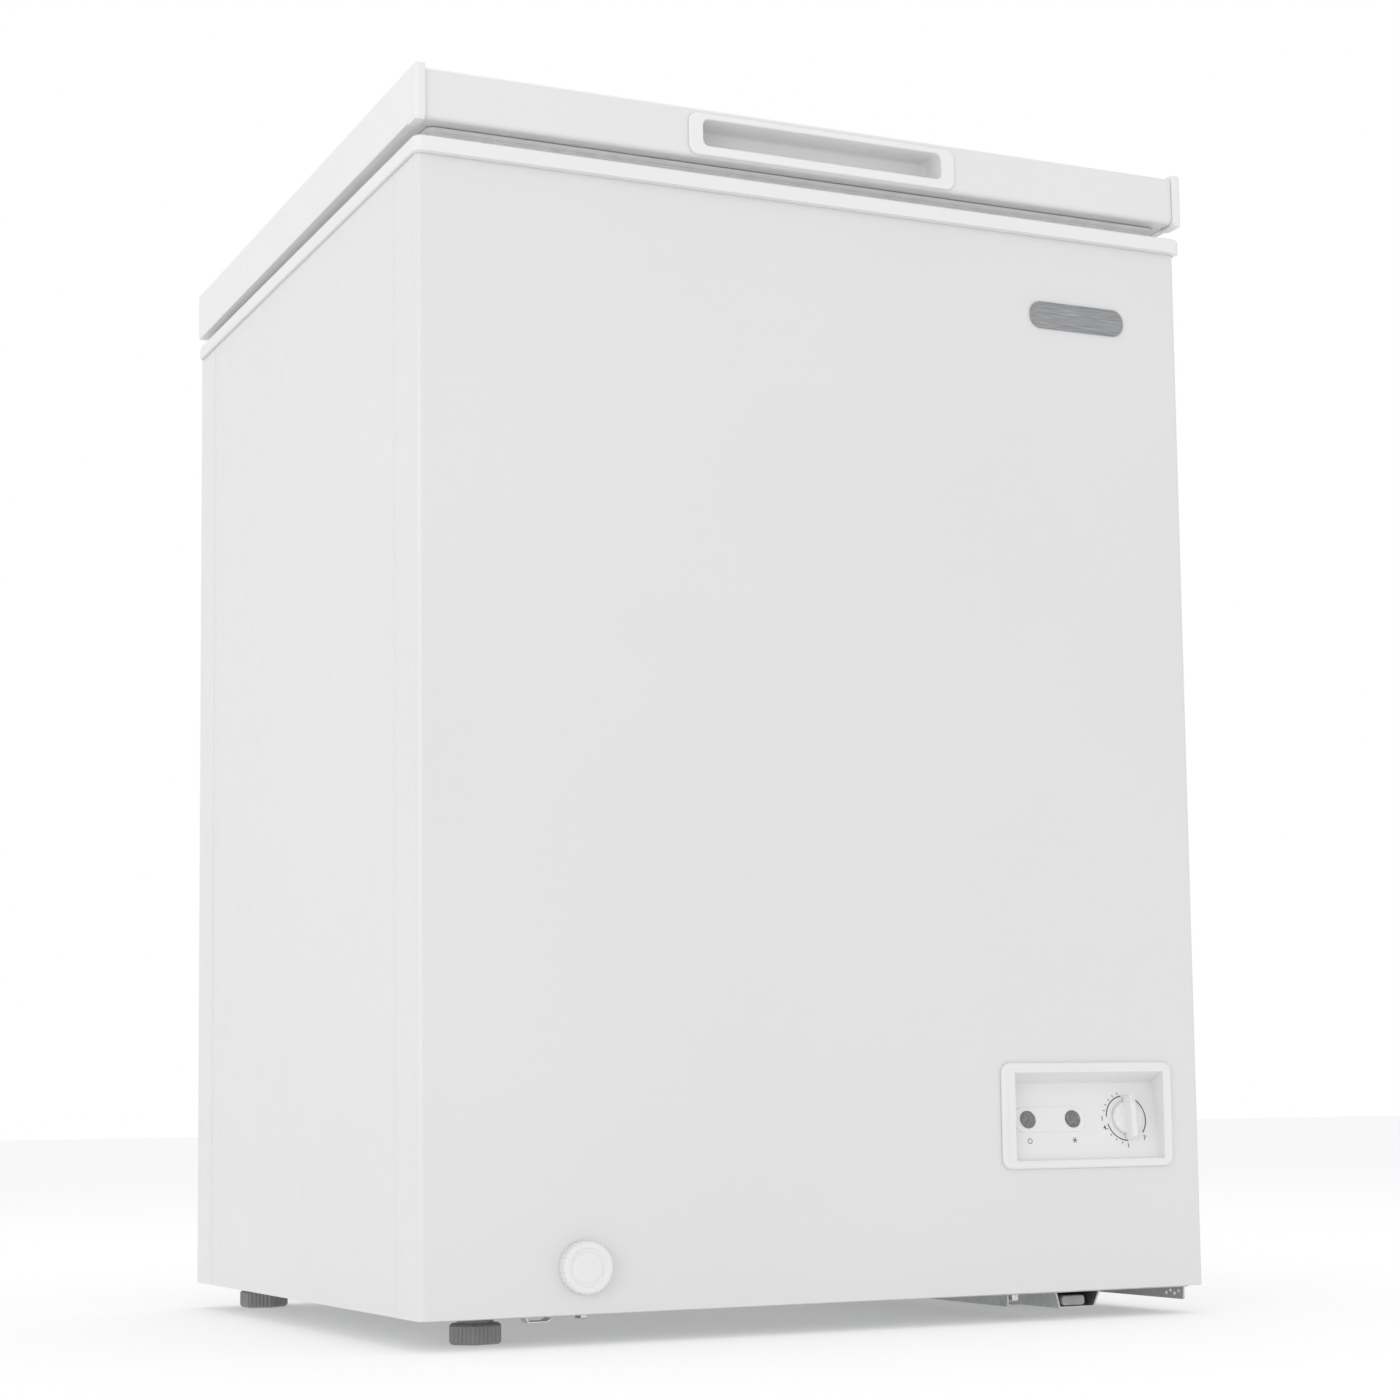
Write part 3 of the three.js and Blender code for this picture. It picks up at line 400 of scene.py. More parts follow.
FINISHES = {
    "white_steel": white_steel(),
    "white_plastic": white_plastic(),
    "liner_plastic": liner_plastic(),
    "galvanised_steel": galvanised_steel(),
    "foam": foam(),
    "rubber": soft_rubber("grommet_rubber", 0.3, 0.38, 0.75),
    # The gasket's grey, 0.66 to 0.71, is partly the vinyl's own light grey and partly painted light that
    # lifts the shade in the gap under the lid.
    "gasket_rubber": soft_rubber("gasket_vinyl_and_painted_light", 0.66, 0.71, 0.5),
    "dark_plastic": dull_plastic("dark_moulding", (0.27, 0.27, 0.272), (0.32, 0.32, 0.322)),
    "grey_plastic": dull_plastic("grey_moulding", grey(0.34), grey(0.42), 0.5),
    "black_steel": black_steel(),
    "copper": drawn_tube("copper_tube", (0.6, 0.3, 0.17), (0.78, 0.46, 0.3)),
    "coil_aluminium": drawn_tube("aluminium_tube", grey(0.66), grey(0.8)),
    "bright_steel": bright_steel(),
    "badge_metal": badge_metal(),
    "lens": lamp_lens(),
    "wire_white": wire_coat(),
}
INK = printed_ink()
# LID_PAINT_WITH_PAINTED_LIGHT is the white steel paint made lighter, 0.75 against 0.72: painted light, so
# that the lid and the underside of its fold read brighter than the cabinet.
LID_PAINT_WITH_PAINTED_LIGHT = white_steel("lid_steel_painted_light", 0.75)
# GRIP_PLASTIC_WITH_PAINTED_LIGHT is the white moulding made lighter, 0.8 against 0.785: painted light that
# lifts the shade in the grip's pocket.
GRIP_PLASTIC_WITH_PAINTED_LIGHT = white_plastic("grip_plastic_painted_light", 0.8)

for node_name, node_object in frame["nodes"].items():
    node_object.data.materials.clear()
    node_object.data.materials.append(FINISHES[SLOT_OF[node_name]])
    node_object.data.shade_smooth()
    node_object.data.set_sharp_from_angle(angle=math.radians(32))


# ---------- shapes: a form is a list of closed surfaces, each (points, faces) ----------

def skin(rings, closed=False):
    """Surface through rings of equally many points; closed joins the last ring to the first."""
    count = len(rings[0])
    faces = []
    for i in range(len(rings) if closed else len(rings) - 1):
        low, high = i * count, (i + 1) % len(rings) * count
        for k in range(count):
            m = (k + 1) % count
            faces.append((low + k, low + m, high + m, high + k))
    if not closed:
        faces.append(tuple(range(count)))
        faces.append(tuple(range((len(rings) - 1) * count, len(rings) * count)))
    return [([Vector(p) for ring in rings for p in ring], faces)]


def moved(form, matrix):
    return [([matrix @ p for p in points], faces) for points, faces in form]


def lifted(axis, outline, height):
    """An outline set at a height along an axis: x takes (y, z), y takes (x, z), z takes (x, y)."""
    place = {"x": lambda u, v: (height, u, v), "y": lambda u, v: (u, height, v),
             "z": lambda u, v: (u, v, height)}[axis]
    return [place(u, v) for u, v in outline]


def prism(outline, axis, low, high):
    return skin([lifted(axis, outline, low), lifted(axis, outline, high)])


def stack(axis, levels, closed=False):
    """Surface through outlines of equally many points, each (outline, height)."""
    return skin([lifted(axis, outline, height) for outline, height in levels], closed)


def arc(u, v, r, start, end, steps):
    """Points on an arc about (u, v), angles in degrees."""
    turns = [math.radians(start + (end - start) * k / steps) for k in range(steps + 1)]
    return [(u + r * math.cos(t), v + r * math.sin(t)) for t in turns]


def rounded(u, v, r, steps=6):
    """Rounded rectangle over spans u and v."""
    (u0, u1), (v0, v1) = u, v
    return (arc(u1 - r, v0 + r, r, -90, 0, steps) + arc(u1 - r, v1 - r, r, 0, 90, steps)
            + arc(u0 + r, v1 - r, r, 90, 180, steps) + arc(u0 + r, v0 + r, r, 180, 270, steps))


def inset(u, v, r, by, steps=6):
    """The rounded rectangle moved in by `by` on all sides, with its corners following."""
    return rounded((u[0] + by, u[1] - by), (v[0] + by, v[1] - by), max(r - by, 0.05), steps)


def corner_arc(before, here, after, r, steps):
    """The arc of radius r that rounds the corner at `here`."""
    back, on = (before - here).normalized(), (after - here).normalized()
    half = back.angle(on) / 2
    centre = here + (back + on).normalized() * (r / math.sin(half))
    start = here + back * (r / math.tan(half)) - centre
    end = here + on * (r / math.tan(half)) - centre
    turn = start.angle(end)
    points = []
    for k in range(steps + 1):
        a = math.sin(turn * (1 - k / steps)) / math.sin(turn)
        b = math.sin(turn * k / steps) / math.sin(turn)
        points.append(centre + start * a + end * b)
    return points


def filleted(corners, radius, steps=4):
    """A polygon with every corner rounded; corners are (u, v) or (u, v, own radius)."""
    points = []
    for i, corner in enumerate(corners):
        before, here, after = (Vector(corners[k % len(corners)][:2]) for k in (i - 1, i, i + 1))
        r = corner[2] if len(corner) > 2 else radius
        if r <= 0 or (before - here).angle(after - here) / 2 > math.radians(89.5):
            points.append(tuple(here))
        else:
            points += [tuple(p) for p in corner_arc(before, here, after, r, steps)]
    return points


def turned(profile, sides=48, axis="z", at=(0, 0, 0)):
    """A turned surface from (radius, height) points, on the axis at both ends or a loop."""
    rings = []
    for r, h in profile:
        ring = []
        for k in range(sides):
            t = 2 * math.pi * k / sides
            ring.append((r * math.cos(t), r * math.sin(t), h))
        rings.append(ring)
    closed = profile[0][0] > 0
    form = skin(rings, closed)
    turn = {"z": Matrix.Identity(4), "y": Matrix.Rotation(-math.pi / 2, 4, "X"),
            "x": Matrix.Rotation(math.pi / 2, 4, "Y")}[axis]
    return moved(form, Matrix.Translation(at) @ turn)


def bent(corners, r, steps=8):
    """Points along straight runs whose corners are arcs of radius r."""
    at = [Vector(c) for c in corners]
    points = [at[0]]
    for before, here, after in zip(at, at[1:], at[2:]):
        points += corner_arc(before, here, after, r, steps)
    return points + [at[-1]]


def cylinder(r, low, high, sides=24, axis="z", at=(0, 0, 0)):
    return turned([(0, low), (r, low), (r, high), (0, high)], sides, axis, at)


def round_over(r, first=0):
    """(inward, upward) along a quarter round of radius r, every 15 degrees."""
    turns = [math.radians(15 * k) for k in range(first, 7)]
    return [(r * (1 - math.cos(t)), r * math.sin(t)) for t in turns]


def layered(axis, u, v, r, levels, steps=6):
    """A stack of one rounded rectangle; each level is (inset, height)."""
    return stack(axis, [(inset(u, v, r, by, steps), height) for by, height in levels])


def tube(points, r, sides=10, closed=False):
    """A round rod along points, with frames carried along so that it doesn't twist."""
    at = [Vector(p) for p in points]
    count = len(at)
    rings = []
    across = None
    for i, here in enumerate(at):
        before = at[i - 1] if i or closed else here
        after = at[(i + 1) % count] if i < count - 1 or closed else here
        along = (after - before).normalized()
        if across is None:
            across = along.orthogonal().normalized()
        across = (across - along * across.dot(along)).normalized()
        over = along.cross(across)
        turns = [2 * math.pi * k / sides for k in range(sides)]
        rings.append([here + (across * math.cos(t) + over * math.sin(t)) * r for t in turns])
    return skin(rings, closed)


def relief(axis, us, vs, face, back, height):
    """A plate with a raised face: `face` plus height(u, v) on one side and flat at `back`."""
    front = [[lifted(axis, [(u, v)], face + height(u, v))[0] for u in us] for v in vs]
    rear = [[lifted(axis, [(u, v)], back)[0] for u in us] for v in vs]
    wide, tall = len(us), len(vs)
    points = [Vector(p) for row in front + rear for p in row]
    at = lambda i, j, side: (side * tall + j) * wide + i
    faces = []
    for j in range(tall - 1):
        for i in range(wide - 1):
            for side in (0, 1):
                faces.append((at(i, j, side), at(i + 1, j, side), at(i + 1, j + 1, side),
                              at(i, j + 1, side)))
    edge = [(i, 0) for i in range(wide)] + [(wide - 1, j) for j in range(1, tall)]
    edge += [(i, tall - 1) for i in range(wide - 2, -1, -1)] + [(0, j) for j in range(tall - 2, 0, -1)]
    for (i, j), (m, n) in zip(edge, edge[1:] + edge[:1]):
        faces.append((at(i, j, 0), at(m, n, 0), at(m, n, 1), at(i, j, 1)))
    return [(points, faces)]


def bump_line(distance, width):
    """Height of a rounded rib, 1 on its middle line and 0 from `width` away."""
    t = min(abs(distance) / width, 1)
    return 0.5 + 0.5 * math.cos(math.pi * t)


# ---------- pieces ----------

def to_mesh(name, form, matrix):
    mesh = bpy.data.meshes.new(name)
    work = bmesh.new()
    for points, faces in form:
        verts = [work.verts.new(matrix @ p) for p in points]
        for face in faces:
            work.faces.new([verts[k] for k in face])
    bmesh.ops.remove_doubles(work, verts=work.verts, dist=1e-7)
    bmesh.ops.recalc_face_normals(work, faces=work.faces)
    work.to_mesh(mesh)
    work.free()
    return mesh


def apply_modifiers(piece):
    view = bpy.context.evaluated_depsgraph_get()
    mesh = bpy.data.meshes.new_from_object(piece.evaluated_get(view))
    piece.modifiers.clear()
    piece.data = mesh


def combine(piece, form, matrix, operation):
    """Cuts, joins or intersects a piece with another form."""
    other = placed("tool", to_mesh("tool", form, matrix))
    modifier = piece.modifiers.new("join", "BOOLEAN")
    modifier.operation = operation
    modifier.solver = "EXACT"
    modifier.object = other
    apply_modifiers(piece)
    bpy.data.objects.remove(other)


def add_piece(name, form, like, replaces=(), finish=None, edge=0.0, joins=(), cuts=(), angle=32,
              lean=False, segments=3):
    """Makes a piece in the body, slot and finish of the CAD node `like`.

    edge rounds its sharp edges, in millimetres; lean sets it in the closed lid's frame."""
    matrix = TO_ROW @ LEAN if lean else TO_ROW
    mesh = to_mesh(name, form, matrix)
    piece = placed(name, mesh)
    for other in joins:
        combine(piece, other, matrix, "UNION")
    for other in cuts:
        combine(piece, other, matrix, "DIFFERENCE")
    if edge:
        modifier = piece.modifiers.new("round", "BEVEL")
        modifier.width = edge * MM
        modifier.segments = segments
        modifier.limit_method = "ANGLE"
        modifier.angle_limit = math.radians(angle)
        modifier.use_clamp_overlap = True
        apply_modifiers(piece)
    piece.data.shade_smooth()
    piece.data.set_sharp_from_angle(angle=math.radians(angle))
    modifier = piece.modifiers.new("even", "WEIGHTED_NORMAL")
    modifier.keep_sharp = True
    apply_modifiers(piece)
    piece.data.materials.clear()
    piece.data.materials.append(finish or FINISHES[SLOT_OF[like]])
    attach(piece, BODY_OF[like])
    if replaces:
        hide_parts(*replaces)
    return piece


def stand_in(node, form, **options):
    """A piece that stands for one CAD node."""
    return add_piece(node + "_form", form, node, replaces=(node,), **options)


# ---------- cabinet ----------

def smooth_step(t):
    return t * t * (3 - 2 * t)


def wrap_line(inward, pressed=1.0):
    """The shell's U seen from above, `inward` from its outer face, left rear to right rear.

    The sides have a pressed field and, just ahead of it, a low bead; `pressed` scales both."""
    x, r = SIDE - inward, SHELL_R - inward
    depth, proud, ahead = FIELD_STEP * pressed, BEAD_HEIGHT * pressed, FIELD_FRONT - FIELD_RAMP
    steps = [k / 6 for k in range(7)]
    half = [(-x, REAR - inward)]
    half += [(-x + depth * smooth_step(t), FIELD_REAR + FIELD_RAMP * (1 - t)) for t in steps]
    half += [(-x + depth * smooth_step(1 - t), FIELD_FRONT - FIELD_RAMP * t) for t in steps]
    half += [(-x - proud * math.sin(math.pi * t), ahead - BEAD_WIDTH * t) for t in steps[1:]]
    half += arc(-x + r, FRONT + inward + r, r, 180, 270, 10)
    return half + [(-u, v) for u, v in reversed(half)]


def build_shell():
    """One bent sheet round the front and both sides, with flanges behind and holes in it."""
    flange = 12

    def outline(pressed):
        return ([(-SIDE + flange, REAR)] + wrap_line(0, pressed) + [(SIDE - flange, REAR)]
                + [(SIDE - flange, REAR - SHEET)] + wrap_line(SHEET, pressed)[::-1]
                + [(-SIDE + flange, REAR - SHEET)])

    wrap = [(outline(1), FOOT_H), (outline(1), FIELD_TOP - 4), (outline(0.5), FIELD_TOP - 2),
            (outline(0), FIELD_TOP), (outline(0), SHELL_TOP)]
    margin = 2.6
    hole = ((RECESS_X[0] - margin, RECESS_X[1] + margin), (RECESS_Z[0] - margin, RECESS_Z[1] + margin))
    cuts = [prism(rounded(*hole, 2), "y", FRONT - 1, FRONT + 2),
            cylinder(11, FRONT - 1, FRONT + 2, 32, "y", DRAIN_AT),
            prism(rounded((-20, 190), (80, 190), 4), "x", SIDE - 3, SIDE + 1)]
    stand_in("outer_shell", stack("z", wrap), cuts=cuts)
    hem_in = 9.5
    hem = wrap_line(0.4)[7:-7]
    inner = [(max(-SIDE + hem_in, min(SIDE - hem_in, u)), max(FRONT + hem_in / 1.6, v))
             for u, v in hem]
    rings = [[(u, v, z) for u, v in line] for line, z in
             ((hem, 20.15), (hem, 20.95), (inner, 20.95), (inner, 20.15))]
    points = [Vector(p) for ring in rings for p in ring]
    count = len(hem)
    faces = []
    for ring in range(4):
        low, high = ring * count, (ring + 1) % 4 * count
        faces += [(low + k, low + k + 1, high + k + 1, high + k) for k in range(count - 1)]
    faces += [(0, count, 2 * count, 3 * count), tuple((r + 1) * count - 1 for r in range(4))]
    add_piece("shell_lower_hem", [(points, faces)], "outer_shell", edge=0.2)


def build_trim():
    """White frame round the cabinet's mouth: outer skirt, crowned top and rolled inner lip."""
    r, steps, crown, lip, seat = 7, 8, 2.2, 1.6, RIM_TOP - 3.3
    u, v = (-RIM[1].x, RIM[1].x), (RIM[0].y, RIM[1].y)
    mouth = (-WALL_X - GAP, WALL_X + GAP), (-WALL_Y - GAP, WALL_Y + GAP), CORNER_R + GAP
    room = (-SIDE - GAP, SIDE + GAP), (FRONT - GAP, REAR + GAP), SHELL_R + GAP
    skirt = [(0.6, RIM_BOTTOM), (0.18, RIM_BOTTOM + 0.18), (0, RIM_BOTTOM + 0.6)]
    skirt += [(by, RIM_TOP - crown + up) for by, up in round_over(crown)]
    levels = [(inset(u, v, r, by, steps), z) for by, z in skirt]
    for t in (math.radians(18 * k) for k in range(6)):
        grow = -lip * (1 - math.sin(t))
        levels.append((inset(*mouth, grow, steps), RIM_TOP - lip + lip * math.cos(t)))
    levels += [(inset(*place, 0, steps), z)
               for place, z in ((mouth, seat), (room, seat), (room, RIM_BOTTOM))]
    stand_in("top_frame", stack("z", levels, closed=True), angle=40)


def build_back():
    """Zinc back sheet with pressed stiffening ribs, and the louvred cover of the machine bay."""
    face = REAR - 1.1
    xs = [-297.5 + 595 * k / 170 for k in range(171)]
    zs = [22 + 775 * k / 220 for k in range(221)]
    rib_z = [330 + 92 * k for k in range(5)]

    def ribs(x, z):
        fade = smooth_step(max(0, min(1, (262 - abs(x)) / 14)))
        return 0.85 * fade * max(bump_line(z - rib, 7) for rib in rib_z)

    bay = prism(rounded((150, 275), (50, 260), 3), "y", REAR - 4, REAR + 1)
    stand_in("back_panel", relief("y", xs, zs, face, face - 1, ribs), cuts=[bay], angle=50)

    cover = prism(rounded((140, 284), (40, 270), 5), "y", REAR - 0.8, REAR + 0.4)
    slots = [prism(rounded((165, 262), (130 + 18 * k, 137 + 18 * k), 3.4), "y", REAR - 2, REAR + 2)
             for k in range(7)]
    hole = cylinder(7.3, REAR - 2, REAR + 2, 32, "y", CORD_AT)
    stand_in("rear_access_cover", cover, cuts=slots + [hole], edge=0.25)
    hoods = []
    for k in range(7):
        z = 137 + 18 * k
        section = [(REAR + 0.3, z - 0.2), (REAR + 2.6, z - 4.6), (REAR + 3.1, z - 4.3),
                   (REAR + 1.6, z + 1.2), (REAR + 0.3, z + 2.6)]
        hoods += prism(filleted(section, 0.4), "x", 163, 264)
    add_piece("cover_louvres", hoods, "rear_access_cover")
    for k, (x, z) in enumerate(((147, 50), (277, 50), (147, 262), (277, 262))):
        add_screw(f"cover_screw_{k + 1}", "rear_access_cover", (x, REAR + 0.4, z), "y")

    inlet = span("cord_inlet")
    y0, y1 = inlet[0].y, inlet[1].y
    profile = [(4, y0), (7, y0), (7, REAR + 0.6), (9.1, REAR + 0.65), (9.5, REAR + 1.1)]
    profile += [(9.5, REAR + 2.6), (9.1, REAR + 3), (8.2, REAR + 3.2)]
    profile += [(7.4, REAR + 3.6), (7.6, REAR + 4.2), (7.0, REAR + 4.8), (7.2, REAR + 5.4),
                (6.6, REAR + 6), (6.2, y1 - 0.5), (5.6, y1), (4.4, y1), (4, y1 - 0.5)]
    stand_in("cord_inlet", turned(profile, 40, "y", CORD_AT), angle=28)


def add_screw(name, like, at, axis, r=3.4, sink=0.0):
    """Pan head with a cross recess; its head stands out along the axis, + or -."""
    head = 1.9
    profile = [(0, -2.5), (1.6, -2.5), (1.6, 0), (r, 0), (r, 0.5)]
    profile += [(r * math.cos(math.radians(a)), 0.5 + (head - 0.5) * math.sin(math.radians(a)))
                for a in (20, 40, 60, 78)]
    profile += [(0, head)]
    form = turned(profile, 28)
    cross = [prism(rounded((-0.45, 0.45), (-r * 0.55, r * 0.55), 0.2), "z", head - 0.9, head + 1),
             prism(rounded((-r * 0.55, r * 0.55), (-0.45, 0.45), 0.2), "z", head - 0.9, head + 1)]
    turn = {"y": Matrix.Rotation(-math.pi / 2, 4, "X"), "-z": Matrix.Rotation(math.pi, 4, "X"),
            "-y": Matrix.Rotation(math.pi / 2, 4, "X"), "x": Matrix.Rotation(math.pi / 2, 4, "Y")}
    place = Matrix.Translation(at) @ turn[axis] @ Matrix.Rotation(math.radians(17), 4, "Z")
    place = place @ Matrix.Translation((0, 0, -sink))
    add_piece(name, moved(form, place), like, cuts=[moved(c, place) for c in cross],
              finish=FINISHES["bright_steel"], angle=28)


def stud_hole(foot):
    """Clearance for a levelling foot's stud."""
    return cylinder(4.6, 15, 25, at=(*FEET[foot], 0))


def build_bottom():
    """Zinc bottom sheet with two pressed channels, seen from below."""
    lo, hi = span("bottom_panel")
    xs = [lo.x + (hi.x - lo.x) * k / 120 for k in range(121)]
    ys = [lo.y + (hi.y - lo.y) * k / 120 for k in range(121)]

    def channels(x, y):
        fade = smooth_step(max(0, min(1, (250 - abs(y)) / 16)))
        return 0.75 * fade * max(bump_line(x - rib, 6) for rib in (-160, -80, 0, 80))

    plate = relief("z", xs, ys, lo.z + 0.05, hi.z, channels)
    holes = [stud_hole(foot) for foot in ("front_left", "rear_left")]
    stand_in("bottom_panel", plate, cuts=holes, angle=50)


# ---------- feet and base ----------

def build_foot(name):
    """Levelling foot: a ribbed hexagonal grip with chamfers, a neck, and a threaded stud above it."""
    x, y = FEET[name]
    facing = math.radians(FOOT_FACING[name])
    count, ribs = 144, 36

    def ring(r, rib, z, hexagonal=1.0):
        """Rounded hexagon of corner radius r, pulled in by the grooves between its ribs."""
        points = []
        for k in range(count):
            t = 2 * math.pi * k / count
            off = (t + math.pi / 6) % (math.pi / 3) - math.pi / 6
            flat = 0.885 / math.cos(math.pi / 6 - abs(off))
            radius = r * (1 + hexagonal * (min(flat, 0.995) - 1))
            radius -= rib * (0.5 + 0.5 * math.cos(ribs * t)) ** 3
            points.append((x + radius * math.cos(t + facing), y + radius * math.sin(t + facing), z))
        return points

    rings = [ring(16.9, 0, 0), ring(17.7, 0, 0.25), ring(19.1, 0.2, 1.5), ring(19.5, 0.75, 2.2),
             ring(19.5, 0.8, 11.6), ring(19.3, 0.6, 12.2), ring(17.6, 0.1, 13.4), ring(14.8, 0, 13.8),
             ring(12.9, 0, 13.9, 0), ring(12.5, 0, 14.2, 0), ring(12.4, 0, 14.8, 0)]
    rings += [ring(12.4, 0, 18, 0), ring(12, 0, 18.5, 0), ring(4.2, 0, 18.5, 0)]
    pitch = 1.25
    for k in range(17):
        z = 19 + pitch * k
        rings += [ring(3.4, 0, z, 0), ring(3.95, 0, z + pitch / 2, 0)]
    rings += [ring(3.4, 0, 39.9, 0)]
    stand_in("foot_" + name, skin(rings), angle=30)


def build_base():
    lo, hi = span("compressor_base_plate")
    plate = prism(rounded((lo.x, hi.x), (lo.y, hi.y), 2), "z", 18.9, 20.1)
    left = prism(rounded((-270, 270), (10, 19.2), 1.2), "x", 145, 146.5)
    right = prism(rounded((-274, 270), (9.3, 19.2), 1.2), "x", 291.5, 293)
    studs = [stud_hole(foot) for foot in ("front_right", "rear_right")]
    slots = [prism(rounded((u - 7, u + 7), (v - 2, v + 2), 1.9), "z", 17, 22)
             for u in (165, 232) for v in (-244, -232, -60, 60, 180, 240)]
    small = [cylinder(1.5, 285, 295, 16, "x", (0, -268 + 5.5 * k, 15 - 2 * (k % 2)))
             for k in range(4)]
    stand_in("compressor_base_plate", plate, joins=[left, right], cuts=studs + slots + small, edge=0.2)

    outer = filleted([(181, 18.6, 0), (184, 7.2), (213.5, 7.2), (218.5, 18.6, 0), (216.9, 18.6, 0),
                      (212.6, 8.5, 1), (185, 8.5, 1), (182.4, 18.6, 0)], 1.8)
    channel = prism(outer, "y", -277, 277)
    ports = [cylinder(3.2, 5, 10, 24, "z", (199, v, 0))
             for v in (-150, -60, 60, 150)]
    stand_in("base_channel", channel, cuts=ports, edge=0.3)
    lo, hi = span("channel_pad")
    levels = [(1.2, lo.y), (0.35, lo.y + 0.35), (0, lo.y + 1.2), (0, hi.y)]
    stand_in("channel_pad", layered("y", (lo.x, hi.x), (lo.z, hi.z), 2.4, levels))
    for name in ("base_bolt_left", "base_bolt_right"):
        build_bolt(name)
    add_clip()


def build_bolt(name):
    lo, hi = span(name)
    x, y = middle(name)
    r = 5
    hexagon = lambda by: [((r - by) * math.cos(math.radians(60 * k)) + x,
                           (r - by) * math.sin(math.radians(60 * k)) + y) for k in range(6)]
    head = stack("z", [(hexagon(0.9), lo.z), (hexagon(0.1), lo.z + 0.7), (hexagon(0), lo.z + 1.2),
                       (hexagon(0), hi.z - 0.9)])
    washer = turned([(0, hi.z - 1.1), (5.9, hi.z - 1.1), (6, hi.z - 0.9), (6, hi.z), (0, hi.z)], 32, "z",
                    (x, y, 0))
    stand_in(name, head, joins=[washer], edge=0.15)


def add_clip():
    """Bent strip clip under the front edge, beside its bolt."""
    section = filleted([(-219, 17.6, 0), (-218.4, 16.9, 0), (-214, 17.4), (-211.5, 13.4), (-198, 13.4),
                        (-194.4, 15.6, 0), (-195, 16.3, 0), (-198.4, 14.4), (-210.8, 14.4),
                        (-213.4, 18.9, 0), (-215, 18.9, 0)], 0.5)
    add_piece("bottom_clip", prism(section, "y", -252, -240), "base_bolt_left", edge=0.2)


build_shell()
build_trim()
build_back()
build_bottom()
for foot in FEET:
    build_foot(foot)
build_base()


# ---------- lid ----------

def build_lid_skin():
    """Folded white sheet: front, top and back, turned in below, open at both ends."""
    u, v = (LID_FRONT, LID_REAR), (LID_BOTTOM, LID_TOP)
    steps = 8
    lip = 17

    def fold(thin):
        r, big = 4, 4.6
        return (arc(u[1] - r, v[0] + r, r - thin, -90, 0, steps)
                + arc(u[1] - r, v[1] - r, r - thin, 0, 90, steps)
                + arc(u[0] + r, v[1] - r, r - thin, 90, 180, steps)
                + arc(u[0] + big, v[0] + big, big - thin, 180, 270, steps))

    outer, inner = fold(0), fold(SHEET)
    outline = ([(u[1] - lip, v[0])] + outer + [(u[0] + lip, v[0]), (u[0] + lip, v[0] + SHEET)]
               + inner[::-1] + [(u[1] - lip, v[0] + SHEET)])
    margin = 3
    hole = rounded((POCKET_X[0] - margin, POCKET_X[1] + margin),
                   (POCKET_Z[0] - margin, POCKET_Z[1] + margin), 4)
    stand_in("lid_skin", prism(outline, "x", -LID_SIDE, LID_SIDE),
             cuts=[prism(hole, "y", LID_FRONT - 1, LID_FRONT + 2)], lean=True, finish=LID_PAINT_WITH_PAINTED_LIGHT)


def build_end_cap(sign):
    """End cap: a wall with crowned edges, a front strip proud of the skin and a foot below."""
    side = {-1: "left", 1: "right"}[sign]
    order = lambda a, b: (min(sign * a, sign * b), max(sign * a, sign * b))
    soft = 2.2

    def ring(by):
        """Rounded on the outer side, nearly square on the side against the skin."""
        x_out, x_in = sign * (CAP_SIDE - by), sign * (LID_SIDE + GAP)
        r, s = max(3 - by, 0.4), 0.9
        y0, y1 = CAP_FRONT + by, CAP_REAR - by
        return filleted([(x_in, y0, s), (x_out, y0, r), (x_out, y1, r), (x_in, y1, s)], r, 8)

    levels = [(ring(1.2), CAP_BOTTOM), (ring(0.4), CAP_BOTTOM + 0.3), (ring(0), CAP_BOTTOM + 1.1)]
    levels += [(ring(by), CAP_TOP - soft + up) for by, up in round_over(soft)]
    near, far = order(LID_SIDE + GAP, CAP_SIDE - 0.4)
    foot = filleted([(near, CAP_FRONT + 1), (far, CAP_FRONT + 1), (far, CAP_FRONT + 19),
                     (near, CAP_FRONT + 19)], 1.6)
    ledge = rounded(order(279.3, LID_SIDE + 1), (-278.7, 275.1), 0.8, 2)
    hollow = rounded(order(LID_SIDE - 1, CAP_SIDE - 2.4), (-292, 288), 1.5, 3)
    stand_in("lid_end_cap_" + side, stack("z", levels), lean=True, edge=0.3, angle=40,
             joins=[prism(foot, "z", CAP_BOTTOM - 1.4, CAP_BOTTOM + 1),
                    prism(ledge, "z", LID_BOTTOM, LID_BOTTOM + 1.4)],
             cuts=[prism(hollow, "z", CAP_BOTTOM + 2.2, 847)])


